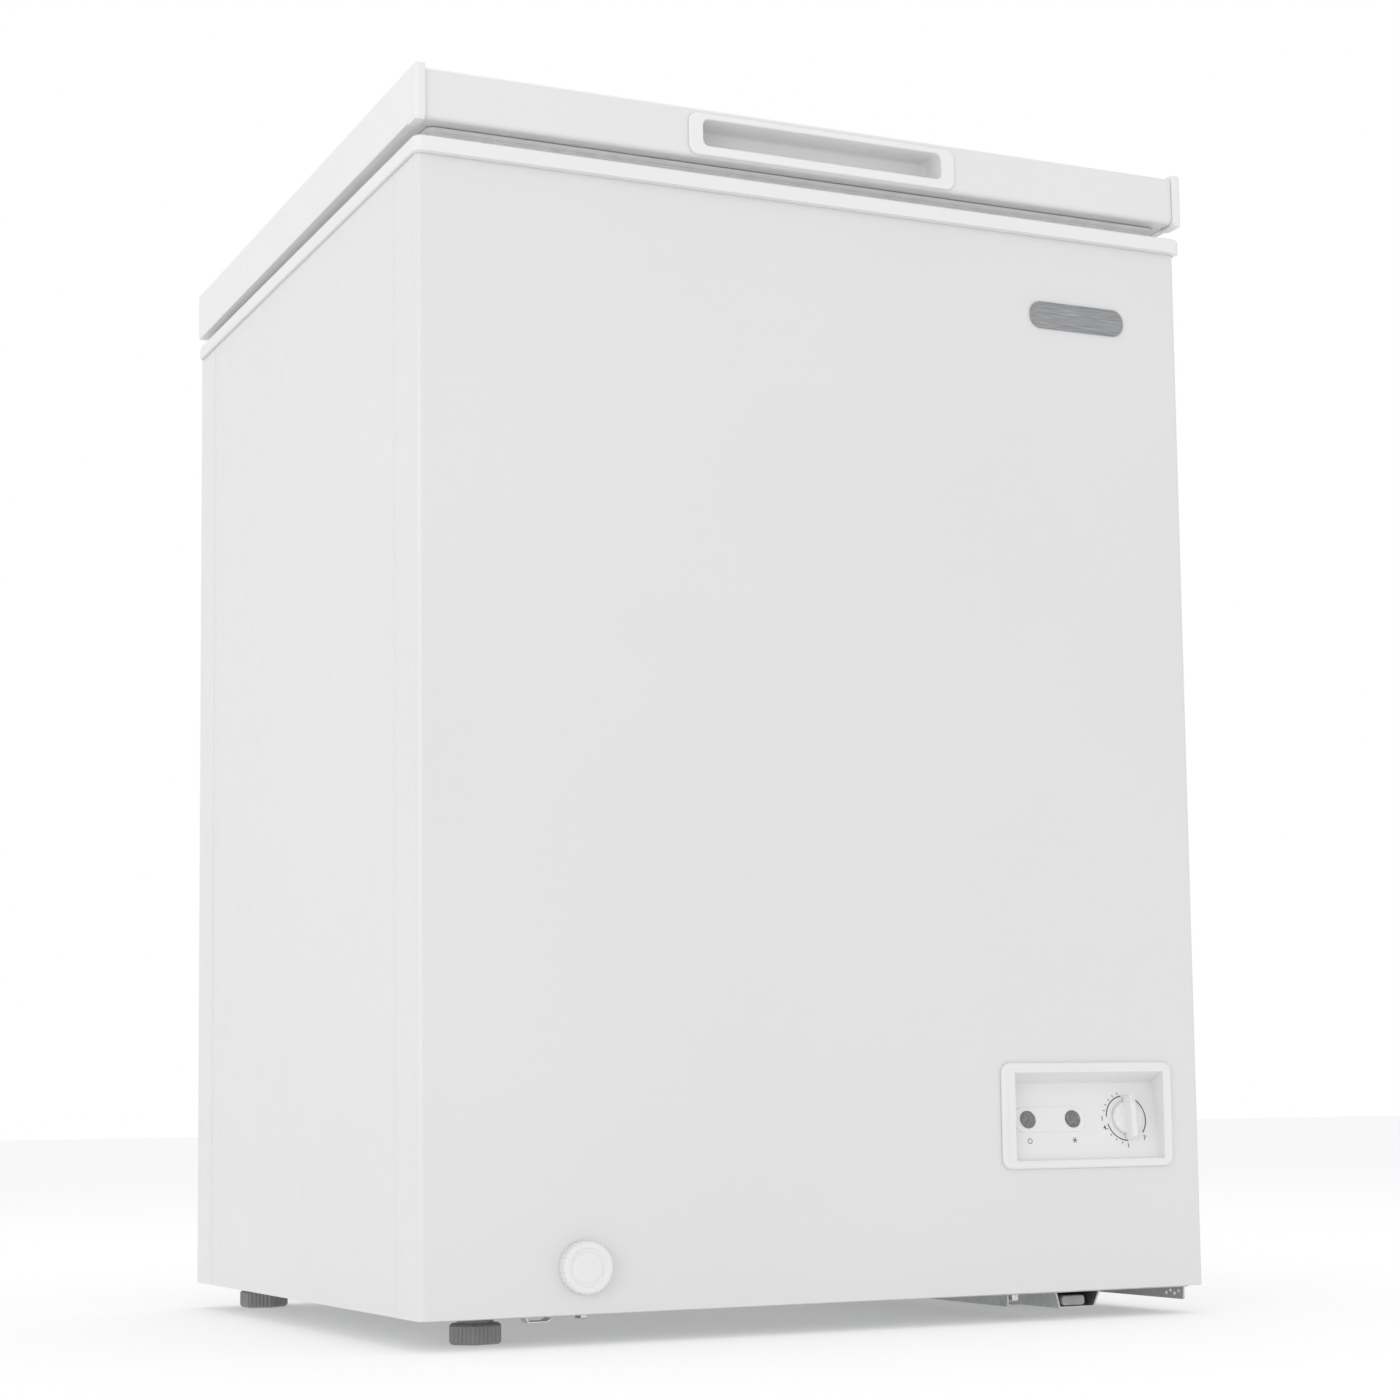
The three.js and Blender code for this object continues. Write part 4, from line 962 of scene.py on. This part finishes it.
def build_grip():
    """Recessed grip: a crowned bezel whose inner edge rolls into a pocket with a stepped back."""
    back = LID_FRONT + POCKET_DEPTH
    face, seat = LID_FRONT - 2.2, LID_FRONT - GAP
    wall, crown, roll, steps = 2, 1.7, 1.5, 8
    pocket = lambda by: inset(POCKET_X, POCKET_Z, 4.5, by, steps)
    bezel = lambda by: inset(GRIP_X, GRIP_Z, 7, by, steps)
    levels = [(pocket(-wall), back + wall - 0.2), (pocket(-wall), seat), (bezel(0.3), seat),
              (bezel(0), seat - 0.3)]
    levels += [(bezel(by), face + crown - up) for by, up in round_over(crown, 1)]
    levels += [(pocket(up - roll), face + inward) for inward, up in round_over(roll)]
    levels += [(pocket(by), back - ahead)
               for by, ahead in ((0.1, 3), (0.5, 1.2), (1.4, 0.3), (2.4, 0))]
    stand_in("lid_grip", stack("y", levels), lean=True, angle=50, finish=GRIP_PLASTIC_WITH_PAINTED_LIGHT)
    half = (POCKET_Z[0] + POCKET_Z[1]) / 2
    step = filleted([(back - 2.2, POCKET_Z[0] + 0.4, 0), (back + 0.6, POCKET_Z[0] + 0.4, 0),
                     (back + 0.6, half + 1.6, 0), (back - 1.2, half + 0.8)], 0.6)
    add_piece("grip_back_step", prism(step, "x", POCKET_X[0] + 1.2, POCKET_X[1] - 1.2), "lid_grip",
              lean=True, edge=0.2, finish=GRIP_PLASTIC_WITH_PAINTED_LIGHT)


def build_gasket():
    """Ribbed vinyl seal: level below, where it rests on the rim, and leaning above with the lid."""
    u, v = (-288.9, 288.9), (-281.1, 277.5)
    bottom = span("lid_gasket")[0].z
    r = 6
    # height share from the foot to the lid, and how far the outer face draws in there
    outer = [(0, 1.2), (0.03, 0.5), (0.08, 0.2), (0.13, 0.5), (0.17, 1.6), (0.2, 2.4), (0.3, 2.6),
             (0.34, 1.8), (0.38, 1.6), (0.42, 2.4), (0.46, 2.7), (0.52, 2.0), (0.56, 1.8), (0.61, 2.5),
             (0.66, 2.7), (0.72, 2.0), (0.76, 1.2), (0.82, 0.7), (0.88, 0.4), (0.94, 0.1), (1.0, 0)]
    inner = [(1.0, 15.5), (0.9, 17.2), (0.75, 17.6), (0.6, 16.6), (0.4, 17.2), (0.2, 17.9), (0.06, 17.7),
             (0, 16.8)]

    def ring(share, by):
        points = []
        for x, y in inset(u, v, r, by, 10):
            lid = (HINGE_Z + math.cos(LID_TILT) * (CAP_BOTTOM - GAP - HINGE_Z)
                   - math.sin(LID_TILT) * (y - HINGE_Y))
            points.append((x, y, bottom + share * (lid - bottom)))
        return points

    gasket = skin([ring(*level) for level in outer + inner], closed=True)
    stand_in("lid_gasket", gasket, angle=60)


def build_lid_liner():
    """Formed inner face of the lid, and the foam behind it: a flat margin, a step and a tray."""
    plate_u, plate_v = (-279, 279), (-278.7, 275.1)
    tray_u, tray_v = (-225, 225), (-215, 215)
    top, corner, steps = LID_BOTTOM + LINER_T, 22, 8
    tray = [(0, LID_BOTTOM), (0.6, LID_BOTTOM - 1.5), (2.5, 806), (4, 804.2), (6.5, 803.2), (9, 803),
            (30, 803), (33, 803.3), (36, 804.3), (39, 805.2), (42, 805.4)]

    def level(by, z, apart=0.0):
        return inset(tray_u, tray_v, corner, by + apart, steps), z + apart

    plate = inset(plate_u, plate_v, 5, 0, steps)
    under = stack("z", [(plate, top), (plate, LID_BOTTOM)] + [level(*at) for at in tray])
    hollow = stack("z", [level(0, top, LINER_T)] + [level(*at, LINER_T) for at in tray[1:]])
    stand_in("lid_liner", under, cuts=[hollow], lean=True, angle=30)

    foam_v, foam_z = (LID_FRONT + 1.2, LID_REAR - 1.2), (LID_BOTTOM + 2, LID_TOP - 1.2)
    core = prism(rounded(foam_v, foam_z, 3.2), "x", -LID_SIDE + 0.5, LID_SIDE - 0.5)
    plug = stack("z", [level(0, top + 3, LINER_T + GAP)] + [level(*at, LINER_T + GAP) for at in tray[1:]])
    room = prism(inset(POCKET_X, POCKET_Z, 6, -2.4), "y", LID_FRONT - 1, LID_FRONT + POCKET_DEPTH + 2.2)
    stand_in("lid_foam", core, joins=[plug], cuts=[room], lean=True, angle=35)


# ---------- controls ----------
SLOPE = (FACE_TOP[0] - FACE_BOTTOM[0]) / (FACE_TOP[1] - FACE_BOTTOM[1])
FACE_Y = FACE_BOTTOM[0] + SLOPE * (DIAL_Z - FACE_BOTTOM[1])


def on_face(form, x):
    """Sets a form built flat, z out of the sloping control face, at (x, dial height)."""
    turn = Matrix.Rotation(math.pi / 2 - PANEL_TILT, 4, "X")
    return moved(form, Matrix.Translation((x, FACE_Y, DIAL_Z)) @ turn)


def build_bezel():
    """Control panel: a crowned flange, a pocket with the sloping face, and the lamps' pad."""
    back, face, soft, wall = FRONT - GAP, FRONT - 3, 2.2, 2.2
    levels = [(0.3, back), (0, back - 0.4)]
    levels += [(by, face + soft - up) for by, up in round_over(soft)]
    levels += [(3.6, face + 0.02), (4.3, face + 0.14), (4.9, face + 0.5), (5.4, face + 0.62)]
    flange = layered("y", PANEL_X, PANEL_Z, 7.5, levels, 8)
    (yb, zb), (yt, zt) = FACE_BOTTOM, FACE_TOP
    pocket = prism([(FRONT - 1, zb - wall - 0.8), (yb + wall, zb - wall), (yt + wall, zt + wall),
                    (FRONT - 1, RECESS_Z[1] + wall)], "x", RECESS_X[0] - wall, RECESS_X[1] + wall)
    outline = [(FRONT - 4, RECESS_Z[0] - 0.6, 0), (FRONT - 1.4, RECESS_Z[0], 0.6), (yb, zb, 0.5),
               (yt, zt, 1.2), (FRONT - 1.8, RECESS_Z[1] + 0.6, 0.9), (FRONT - 4, RECESS_Z[1] + 2.2, 0)]
    recess = prism(filleted(outline, 0.6, 5), "x", *RECESS_X)
    stand_in("control_bezel", flange, joins=[pocket], cuts=[recess], edge=0.35, angle=40)
    pad_levels = [(0, -1), (0, 0.1)] + [(by, 0.1 + up) for by, up in round_over(0.5, 1)]
    pad = on_face(layered("z", (-12, 48), (-9.3, 9.3), 9.1, pad_levels, 12), LAMP_X[0])
    bores = [on_face(cylinder(6.6, -12, 12, 40), x) for x in LAMP_X]
    left, right = LAMP_X[0] - 40, RECESS_X[0] + 0.02
    beside = prism([(left, 100), (right, 100), (right, 200), (left, 200)], "y", FRONT - 5, FRONT + 30)
    add_piece("lamp_pad", pad, "control_bezel", cuts=bores + [beside], angle=40)


def build_lamps():
    for name, x in zip(("power_lamp", "compressor_lamp"), LAMP_X):
        dome = [(0, -7.8), (6.1, -7.8), (6.25, -7.4), (6.25, 0.5), (6.05, 0.9), (5.2, 1.25), (3.6, 1.6),
                (1.8, 1.8), (0, 1.85)]
        stand_in(name, on_face(turned(dome, 48), x), angle=30)
        collar = [(6.3, 0.2), (6.9, 0.2), (7.1, 0.5), (7.0, 0.8), (6.75, 0.95), (6.45, 0.8)]
        add_piece(name + "_collar", on_face(turned(collar, 48), x), "control_bezel")


def build_knob():
    lean = Matrix.Rotation(math.radians(-3.6), 4, "Z")
    skirt = [(0, 0.5), (11.6, 0.5), (11.9, 0.9), (11.9, 3.2), (11.6, 4.0), (10.9, 4.5), (10.1, 4.6),
             (9.9, 4.45), (9.6, 4.45), (9.4, 4.6), (0, 5.0)]
    bar = layered("z", (-2.4, 2.4), (-16.5, 16.5), 2.2,
                  [(0.3, 1.4), (0, 1.9), (0.15, 10.6), (0.35, 11.4), (0.8, 11.9), (1.3, 12)], 8)
    groove = prism(rounded((-0.45, 0.45), (8.5, 15), 0.4, 4), "z", 11.4, 14)
    shaft_bore = cylinder(3.3, -2, 4, 24)
    place = lambda form: on_face(moved(form, lean), KNOB_X)
    stand_in("thermostat_knob", place(turned(skirt, 72)), joins=[place(bar)],
             cuts=[place(groove), place(shaft_bore)], edge=0.18)


def clock(hour):
    """Angle in degrees, anticlockwise from the right, of a clock hour."""
    return 90 - 30 * hour


def build_marks():
    """Printed scale round the knob, with plain numerals, and a symbol under each lamp."""
    low, high = 0.02, 0.07
    r, half = 16.6, 0.42

    def band(start, end, steps=24):
        a = arc(0, 0, r + half, clock(start), clock(end), steps)
        b = arc(0, 0, r - half, clock(end), clock(start), steps)
        return prism(a + b, "z", low, high)

    bands = band(9.15, 11.75) + band(12.85, 16.35) + band(18.1, 20.55)
    forms = on_face(bands, KNOB_X)
    for start, end, ticks in ((9.6, 11.5, 5), (18.6, 20.2, 4)):
        for k in range(ticks):
            t = math.radians(clock(start + (end - start) * k / (ticks - 1)))
            a, b, w = r + 1.6, r + 3.1, 0.3
            d, n = Vector((math.cos(t), math.sin(t))), Vector((-math.sin(t), math.cos(t)))
            quad = [d * a + n * w, d * b + n * w, d * b - n * w, d * a - n * w]
            forms += on_face(prism([tuple(q) for q in quad], "z", low, high), KNOB_X)
    power = arc(0, 0, 2.0, 130, 410, 24) + arc(0, 0, 1.5, 410, 130, 24)
    stem = [(-0.27, 0.4), (0.27, 0.4), (0.27, 2.4), (-0.27, 2.4)]
    below = Matrix.Translation((0, -15.5, 0))
    for outline in (power, stem):
        forms += on_face(moved(prism(outline, "z", low, high), below), LAMP_X[0])
    for k in range(3):
        turn = below @ Matrix.Rotation(math.radians(60 * k), 4, "Z")
        bar = prism(rounded((-2.3, 2.3), (-0.24, 0.24), 0.2, 3), "z", low, high)
        forms += on_face(moved(bar, turn), LAMP_X[1])
    add_piece("printed_scale", forms, "control_bezel", finish=INK)
    for k, (hour, figure) in enumerate(((9.0, "1"), (8.35, "4"), (6.1, "1"), (16.6, "7"))):
        add_numeral(f"numeral_{k + 1}", figure, hour)


def add_numeral(name, figure, hour):
    """A small upright numeral outside the scale at a clock hour."""
    size, r = 3.6, 20.4
    t = math.radians(clock(hour))
    curve = bpy.data.curves.new("figure", "FONT")
    curve.body = figure
    curve.size = size * 1.35
    curve.align_x, curve.align_y = "CENTER", "CENTER"
    curve.extrude = 0.03
    curve.offset = 0.06
    source = placed("figure", curve)
    mesh = bpy.data.meshes.new_from_object(source.evaluated_get(bpy.context.evaluated_depsgraph_get()))
    bpy.data.objects.remove(source)
    points = [v.co + Vector((r * math.cos(t), r * math.sin(t), 0.05)) for v in mesh.vertices]
    form = on_face([(points, [tuple(p.vertices) for p in mesh.polygons])], KNOB_X)
    add_piece(name, form, "control_bezel", finish=INK)


# ---------- badge, drain, grille ----------

def build_badge():
    """Plain plate with a rounded edge and a shallow sunk field."""
    lo, hi = span("badge")
    levels = [(0.2, hi.y), (0, hi.y - 0.3)]
    levels += [(by, lo.y + 0.5 - up) for by, up in round_over(0.5)]
    levels += [(1.6, lo.y), (1.8, lo.y + 0.25), (2.6, lo.y + 0.25)]
    stand_in("badge", layered("y", (lo.x, hi.x), (lo.z, hi.z), 9, levels, 10), angle=30)


def build_drain():
    """Dial with a fluted rim, a dished face and a raised disc; the spout behind it; the plug."""
    lobes = 30
    back, face = FRONT - GAP, FRONT - 10

    def ring(r, depth, y, count=240):
        points = []
        for k in range(count):
            t = 2 * math.pi * k / count
            notch = abs(math.sin(lobes * t / 2)) ** 2
            rr = r - depth * (1 - notch)
            points.append((DRAIN_X + rr * math.cos(t), y, DRAIN_Z + rr * math.sin(t)))
        return points

    r = DIAL_R
    front = [(r, 0.5, back), (r, 0.5, face + 2.2), (r - 0.35, 0.5, face + 1.1), (r - 1.1, 0.35, face + 0.35),
             (r - 2.2, 0, face), (r - 4.2, 0, face), (r - 4.9, 0, face + 0.25), (r - 5.4, 0, face + 0.9),
             (10.6, 0, face + 1.0), (10.2, 0, face + 0.7), (9.7, 0, face + 0.3), (9.0, 0, face + 0.2),
             (4, 0, face + 0.12), (0.02, 0, face + 0.1)]
    rear = [(0.02, 0, face + 2.6), (7.3, 0, face + 2.6), (7.3, 0, back - 2), (9.4, 0, back - 2),
            (9.4, 0, face + 2.6), (r - 2.4, 0, face + 2.6), (r - 2.4, 0, back)]
    stand_in("drain_dial", skin([ring(*level) for level in front + rear], closed=True), angle=40)
    turn = math.radians(128)
    at = (DRAIN_X + 13.6 * math.cos(turn), 0, DRAIN_Z + 13.6 * math.sin(turn))
    arrow = stack("y", [([(at[0] + s * 1.1 * math.cos(turn + math.radians(a)),
                           at[2] + s * 1.1 * math.sin(turn + math.radians(a))) for a in (90, 210, 330)], y)
                        for s, y in ((1, face + 0.2), (0.8, face - 0.0))])
    add_piece("dial_pointer", arrow, "drain_dial")
    lo, hi = span("drain_spout")
    spout = [(5, lo.y + 0.4), (5.4, lo.y), (6.6, lo.y), (7, lo.y + 0.4), (7, hi.y - 0.4), (6.6, hi.y),
             (5.4, hi.y), (5, hi.y - 0.4)]
    stand_in("drain_spout", turned(spout, 48, "y", DRAIN_AT))
    plug = [(0, 72), (5.4, 72), (6, 72.6), (6.4, 76), (6.3, 77), (6.6, 78), (6.3, 79), (6.6, 80), (6.6, 86.4),
            (14.6, 86.4), (15, 86.8), (15, 88), (14.4, 88.6), (6, 88.9), (4.4, 89.4), (4, 90.2), (4, 94.2),
            (3.4, 95), (0, 95)]
    stand_in("drain_plug", turned(plug, 48, "z", WELL_AT))


def build_grille():
    """Moulded grille over the machine bay's side: a crowned flange and slanted louvres."""
    base, face, soft = SIDE - FIELD_STEP + GAP, span("vent_grille")[1].x, 1.3
    levels = [(0, base)] + [(by, face - soft + up) for by, up in round_over(soft)]
    flange = layered("x", (-32, 202), (68, 202), 6, levels, 8)
    collar = prism(rounded((-19, 189), (81, 189), 3), "x", SIDE - 6, base + 0.5)
    slots = []
    for k in range(8):
        z = 86 + 12.6 * k
        section = [(SIDE - 9, z + 1.5), (SIDE + 4, z - 1.2), (SIDE + 4, z + 5.4), (SIDE - 9, z + 8.1)]
        slots.append([([Vector((x, y, zz)) for y in (-14, 184) for x, zz in section],
                       [(0, 1, 2, 3), (7, 6, 5, 4), (0, 4, 5, 1), (1, 5, 6, 2), (2, 6, 7, 3), (3, 7, 4, 0)])])
    stand_in("vent_grille", flange, joins=[collar], cuts=slots, edge=0.35, angle=40)


build_lid_skin()
for hand in (-1, 1):
    build_end_cap(hand)
build_grip()
build_gasket()
build_lid_liner()
build_bezel()
build_lamps()
build_knob()
build_marks()
build_badge()
build_drain()
build_grille()


# ---------- liner, basket, hinges and machine bay ----------

def cavity_forms(grow, top):
    """The storage space grown into its walls: deep tub, tub over the step, and the step's nose."""
    round_floor, nose = 18, 9

    def tub(u, floor, ceiling, slack):
        v = (-WALL_Y - grow + slack, WALL_Y + grow - slack)
        levels = [(round_floor - up, floor + inward) for inward, up in round_over(round_floor)]
        return layered("z", (u[0] + slack, u[1] - slack), v, CORNER_R + grow,
                       levels + [(0, ceiling)], 8)

    deep = tub((-WALL_X - grow, STEP_X + grow), CAVITY_FLOOR - grow, STEP_Z + 26, 0.02)
    shelf = tub((-WALL_X - grow, WALL_X + grow), STEP_Z - grow, top, 0)
    corner = (arc(STEP_X + nose, STEP_Z - nose, nose - grow, 180, 90, 8)
              + [(STEP_X + nose, STEP_Z + 1), (STEP_X - 1, STEP_Z + 1), (STEP_X - 1, STEP_Z - nose)])
    reach = WALL_Y + grow - 0.05
    return [deep, shelf, prism(corner, "y", -reach, reach)]


def build_liner():
    """Vacuum-formed tub with rounded floor edges, a step over the machine bay and a top flange."""
    top = RIM_TOP - 3.6
    outer = cavity_forms(LINER_T, top - 0.6)
    inner = cavity_forms(0, RIM_TOP + 5)
    u, v = (-WALL_X - 10, WALL_X + 10), (-WALL_Y - 10, WALL_Y + 10)
    flange = layered("z", u, v, CORNER_R + 10, [(0, top - 1.2), (0, top)], 8)
    well = turned([(0, 70), (8.6, 70), (8.6, 84.6), (9.2, 85.6), (9.2, 87), (0, 87)], 40,
                  at=WELL_AT)
    stand_in("inner_liner", outer[1], joins=[outer[0], outer[2], flange],
             cuts=[inner[1], inner[0], inner[2], well], angle=35)


def build_basket():
    """Coated wire basket: a heavy rim, three hoops, crossing U wires and two pairs of hooks."""
    lo, hi = span("basket")
    (x0, x1), (y0, y1) = BASKET_X, BASKET_Y
    z0, z1 = lo.z, BASKET_TOP
    corner, rim, hoop, wire = 24, 2.6, 1.9, 1.35

    def hoop_at(z, r, inward):
        outline = inset((x0, x1), (y0, y1), corner, inward, 10)
        return tube(lifted("z", outline, z), r, 10, closed=True)

    form = hoop_at(z1 - rim, rim, rim)
    for z in (z0 + hoop, z0 + 0.27 * (z1 - z0), z0 + 0.52 * (z1 - z0), z0 + 0.76 * (z1 - z0)):
        form += hoop_at(z, hoop, rim + 2 * wire + 0.6 if z > z0 + hoop else 2 * rim + 2.4)
    low, high = z0 + 2 * hoop + wire - 0.3, z1 - rim
    inward = 2 * wire + 0.55
    for k in range(21):
        y = y0 + 28 + (y1 - y0 - 56) * k / 20
        ends = [(x0 + inward, y, high), (x0 + inward, y, low), (x1 - inward, y, low), (x1 - inward, y, high)]
        form += tube(bent(ends, 9, 6), wire, 8)
    for k in range(8):
        x = x0 + 28 + (x1 - x0 - 56) * k / 7
        level = low + 2 * wire - 0.2
        ends = [(x, y0 + inward, high), (x, y0 + inward, level), (x, y1 - inward, level),
                (x, y1 - inward, high)]
        form += tube(bent(ends, 9, 6), wire, 8)
    rest = hi.z - 1.5
    for side in (-1, 1):
        for x in (x0 + 40, x1 - 40):
            wall, out = side * (y1 - 1.6), side * (hi.y - 0.2)
            way = [(x, wall, z1 - 30), (x, wall, rest), (x, out, rest)]
            form += tube(bent(way, 3, 6), 1.5, 10)
    stand_in("basket", form, angle=60)


def build_hinge(hand, x):
    """Counterbalanced hinge: pressed base with two ears, lid plate with lugs, pin and spring."""
    ear = 8
    base = prism(rounded((x - 25, x + 25), (700, 790), 4), "y", REAR - 0.8, REAR + 1.2)
    ears = []
    for side in (-1, 1):
        near, far = sorted((x + side * 21, x + side * 23))
        profile = ([(REAR + 0.6, 722, 0), (HINGE_Y + 1, 722, 10), (HINGE_Y + ear, 752, 14)])
        profile = filleted(profile + [(HINGE_Y + ear, HINGE_Z - 1, 0)], 4)
        profile += arc(HINGE_Y, HINGE_Z, ear, 0, 180, 14)
        profile += filleted([(REAR + 3, 800, 0), (REAR + 3, 788, 2), (REAR + 0.6, 788, 0)], 1)
        ears.append(prism(profile, "x", near, far))
    bore = cylinder(3.25, x - 30, x + 30, 32, "x", (0, HINGE_Y, HINGE_Z))
    stand_in(f"hinge_base_{hand}", base, joins=ears, cuts=[bore], edge=0.35, angle=35)

    plate = prism(rounded((x - 19, x + 19), (815, 844), 3), "y", LID_REAR + GAP, LID_REAR + 2.2)
    lugs = []
    for side in (-1, 1):
        near, far = sorted((x + side * 17, x + side * 19))
        profile = [(LID_REAR + 1, 815.2), (LID_REAR + 1, 840), (HINGE_Y - 1, 826)]
        profile += arc(HINGE_Y, HINGE_Z, 6.5, 25, -180, 18)
        lugs.append(prism(profile, "x", near, far))
    stand_in(f"hinge_arm_{hand}", plate, joins=lugs, cuts=[bore], lean=True, edge=0.3, angle=35)

    head = [(0, x - 25.5), (3.6, x - 25.5), (4.7, x - 25), (5, x - 24.4), (5, x - 23.4), (3, x - 23.3),
            (3, x + 24.2), (2.4, x + 25), (0, x + 25)]
    stand_in(f"hinge_pin_{hand}", turned(head, 36, "x", (0, HINGE_Y, HINGE_Z)), angle=28)

    turns, each, radius, width = 9, 24, 5.15, 26
    coil = [(x - width / 2 + width * k / (turns * each), HINGE_Y + radius * math.cos(2 * math.pi * k / each),
             HINGE_Z + radius * math.sin(2 * math.pi * k / each)) for k in range(turns * each + 1)]
    stand_in(f"hinge_spring_{hand}", tube(coil, 1, 8), angle=50)
    for k, (u, z) in enumerate(((-14, 712), (14, 712), (-12, 752), (12, 752))):
        add_screw(f"hinge_{hand}_screw_{k + 1}", f"hinge_base_{hand}", (x + u, REAR + 1.2, z), "y")


def build_compressor():
    """Hermetic compressor: pressed dome on a lower shell with a rolled weld seam, on four feet."""
    x, y = COMPRESSOR
    skirt = [(0, 26), (44, 26), (54, 28.4), (62, 34), (67, 44), (69, 56), (70, 88), (70, 92.5)]
    seam = [(71.4, 93.2), (72.2, 95), (71.4, 96.8), (70, 97.6)]
    dome = [(69.6, 108), (67, 126), (61, 142), (51, 156), (38, 165), (24, 170), (10, 172), (0, 172)]
    shape = Matrix.Translation((x, y, 0)) @ Matrix.Diagonal((0.985, 1.18, 1, 1))
    shell = moved(turned(skirt + seam + dome, 72), shape)
    plate = prism(rounded((x - 66, x + 66), (y - 74, y + 74), 9), "z", 34.6, 37.6)
    holes = [cylinder(6.4, 30, 45, 24, at=(x + u, y + v, 0))
             for u in (-56, 56) for v in (-62, 62)]
    stand_in("compressor", shell, joins=[plate], cuts=holes, edge=0.4, angle=40)
    for k, (u, v) in enumerate(((-56, -62), (56, -62), (-56, 62), (56, 62))):
        profile = [(3.2, 20.4), (9, 20.4), (10, 21.2), (9.3, 24), (9.3, 27), (10, 29.5), (9.4, 34.3),
                   (6, 34.3), (6, 38.2), (6.3, 39), (5.2, 40), (3.2, 40)]
        stand_in(f"compressor_grommet_{k + 1}", turned(profile, 28, at=(x + u, y + v, 0)), angle=40)
    box_x, box_y, box_z = (188, 238), (-62, -24.6), (58, 112)
    front, behind = box_y
    walls = [(1.6, front), (0.5, front + 0.6), (0, front + 2), (0, behind), (2, behind), (2, front + 2)]
    stand_in("compressor_terminal_cover", layered("y", box_x, box_z, 5, walls), angle=35)
    relay = span("start_relay")
    stand_in("start_relay", prism(rounded((relay[0].x, relay[1].x), (relay[0].z, relay[1].z), 3), "y",
                                  relay[0].y, relay[1].y), edge=0.8)
    drier = [(0, 88), (1.6, 88), (1.6, 94), (2.6, 96.4), (6.4, 100), (8.6, 104), (9, 106), (9, 118),
             (8.5, 119), (8.5, 120.4), (9, 121.4), (9, 172), (8.4, 178), (5, 184), (2.4, 188),
             (1.6, 190), (1.6, 196), (0, 196)]
    stand_in("filter_drier", turned(drier, 36, at=(275, 200, 0)), angle=40)


def build_lines():
    """Refrigerant tubes and the wiring sleeve in the machine bay, and the thermostat's housing."""
    runs = {
        "suction_line": ([(213, 145, 100), (213, 240.8, 100), (213, 240.8, 372),
                          (186.4, 240.8, 372)], 14, 4),
        "discharge_line": ([(262, 99, 150), (262, 240, 150), (262, 283.6, 220),
                            (262, 283.6, 289.6)], 14, 2.5),
        "wiring_harness": ([(213, -240, 140), (213, -200, 60), (213, -110, 60), (213, -66, 85),
                            (213, -62.5, 85)], 3, 3),
    }
    for name, (corners, turn, r) in runs.items():
        stand_in(name, tube(bent(corners, turn, 8), r, 24), angle=40)
    housing = prism(rounded((-20, 20), (-16, 16), 3), "z", -34, -5)
    bore = cylinder(3.4, -20, 0, 32)
    stand_in("thermostat_body", on_face(housing, KNOB_X), cuts=[on_face(bore, KNOB_X)], edge=0.9)
    shaft = [(0, -19), (2.5, -19), (2.9, -18.5), (2.9, 3.1), (2.4, 3.6), (0, 3.6)]
    stand_in("thermostat_shaft", on_face(turned(shaft, 32), KNOB_X), angle=40)


def build_drain_elbow():
    """Moulded elbow between the hole in the floor and the front, with a collar at each end."""
    outlet, inlet = FRONT + 0.2, CAVITY_FLOOR - LINER_T - GAP
    inside, outside = [], []
    for r, store in ((9.2, outside), (7.4, inside)):
        past = 0 if r > 8 else 2
        way = [(DRAIN_X, outlet - past, DRAIN_Z), (DRAIN_X, -190, DRAIN_Z), (DRAIN_X, -190, inlet + past)]
        store += tube(bent(way, 12, 10), r, 28)
    collars = [turned([(8, outlet), (10, outlet), (10, outlet + 4), (8, outlet + 4)], 36, "y",
                      DRAIN_AT),
               turned([(8, inlet - 4), (10, inlet - 4), (10, inlet), (8, inlet)], 36, at=WELL_AT)]
    stand_in("drain_elbow", outside, joins=collars, cuts=[inside], angle=40)


build_liner()
build_basket()
for hand, hinge_x in (("left", -HINGE_OUT), ("right", HINGE_OUT)):
    build_hinge(hand, hinge_x)
build_compressor()
build_lines()
build_drain_elbow()
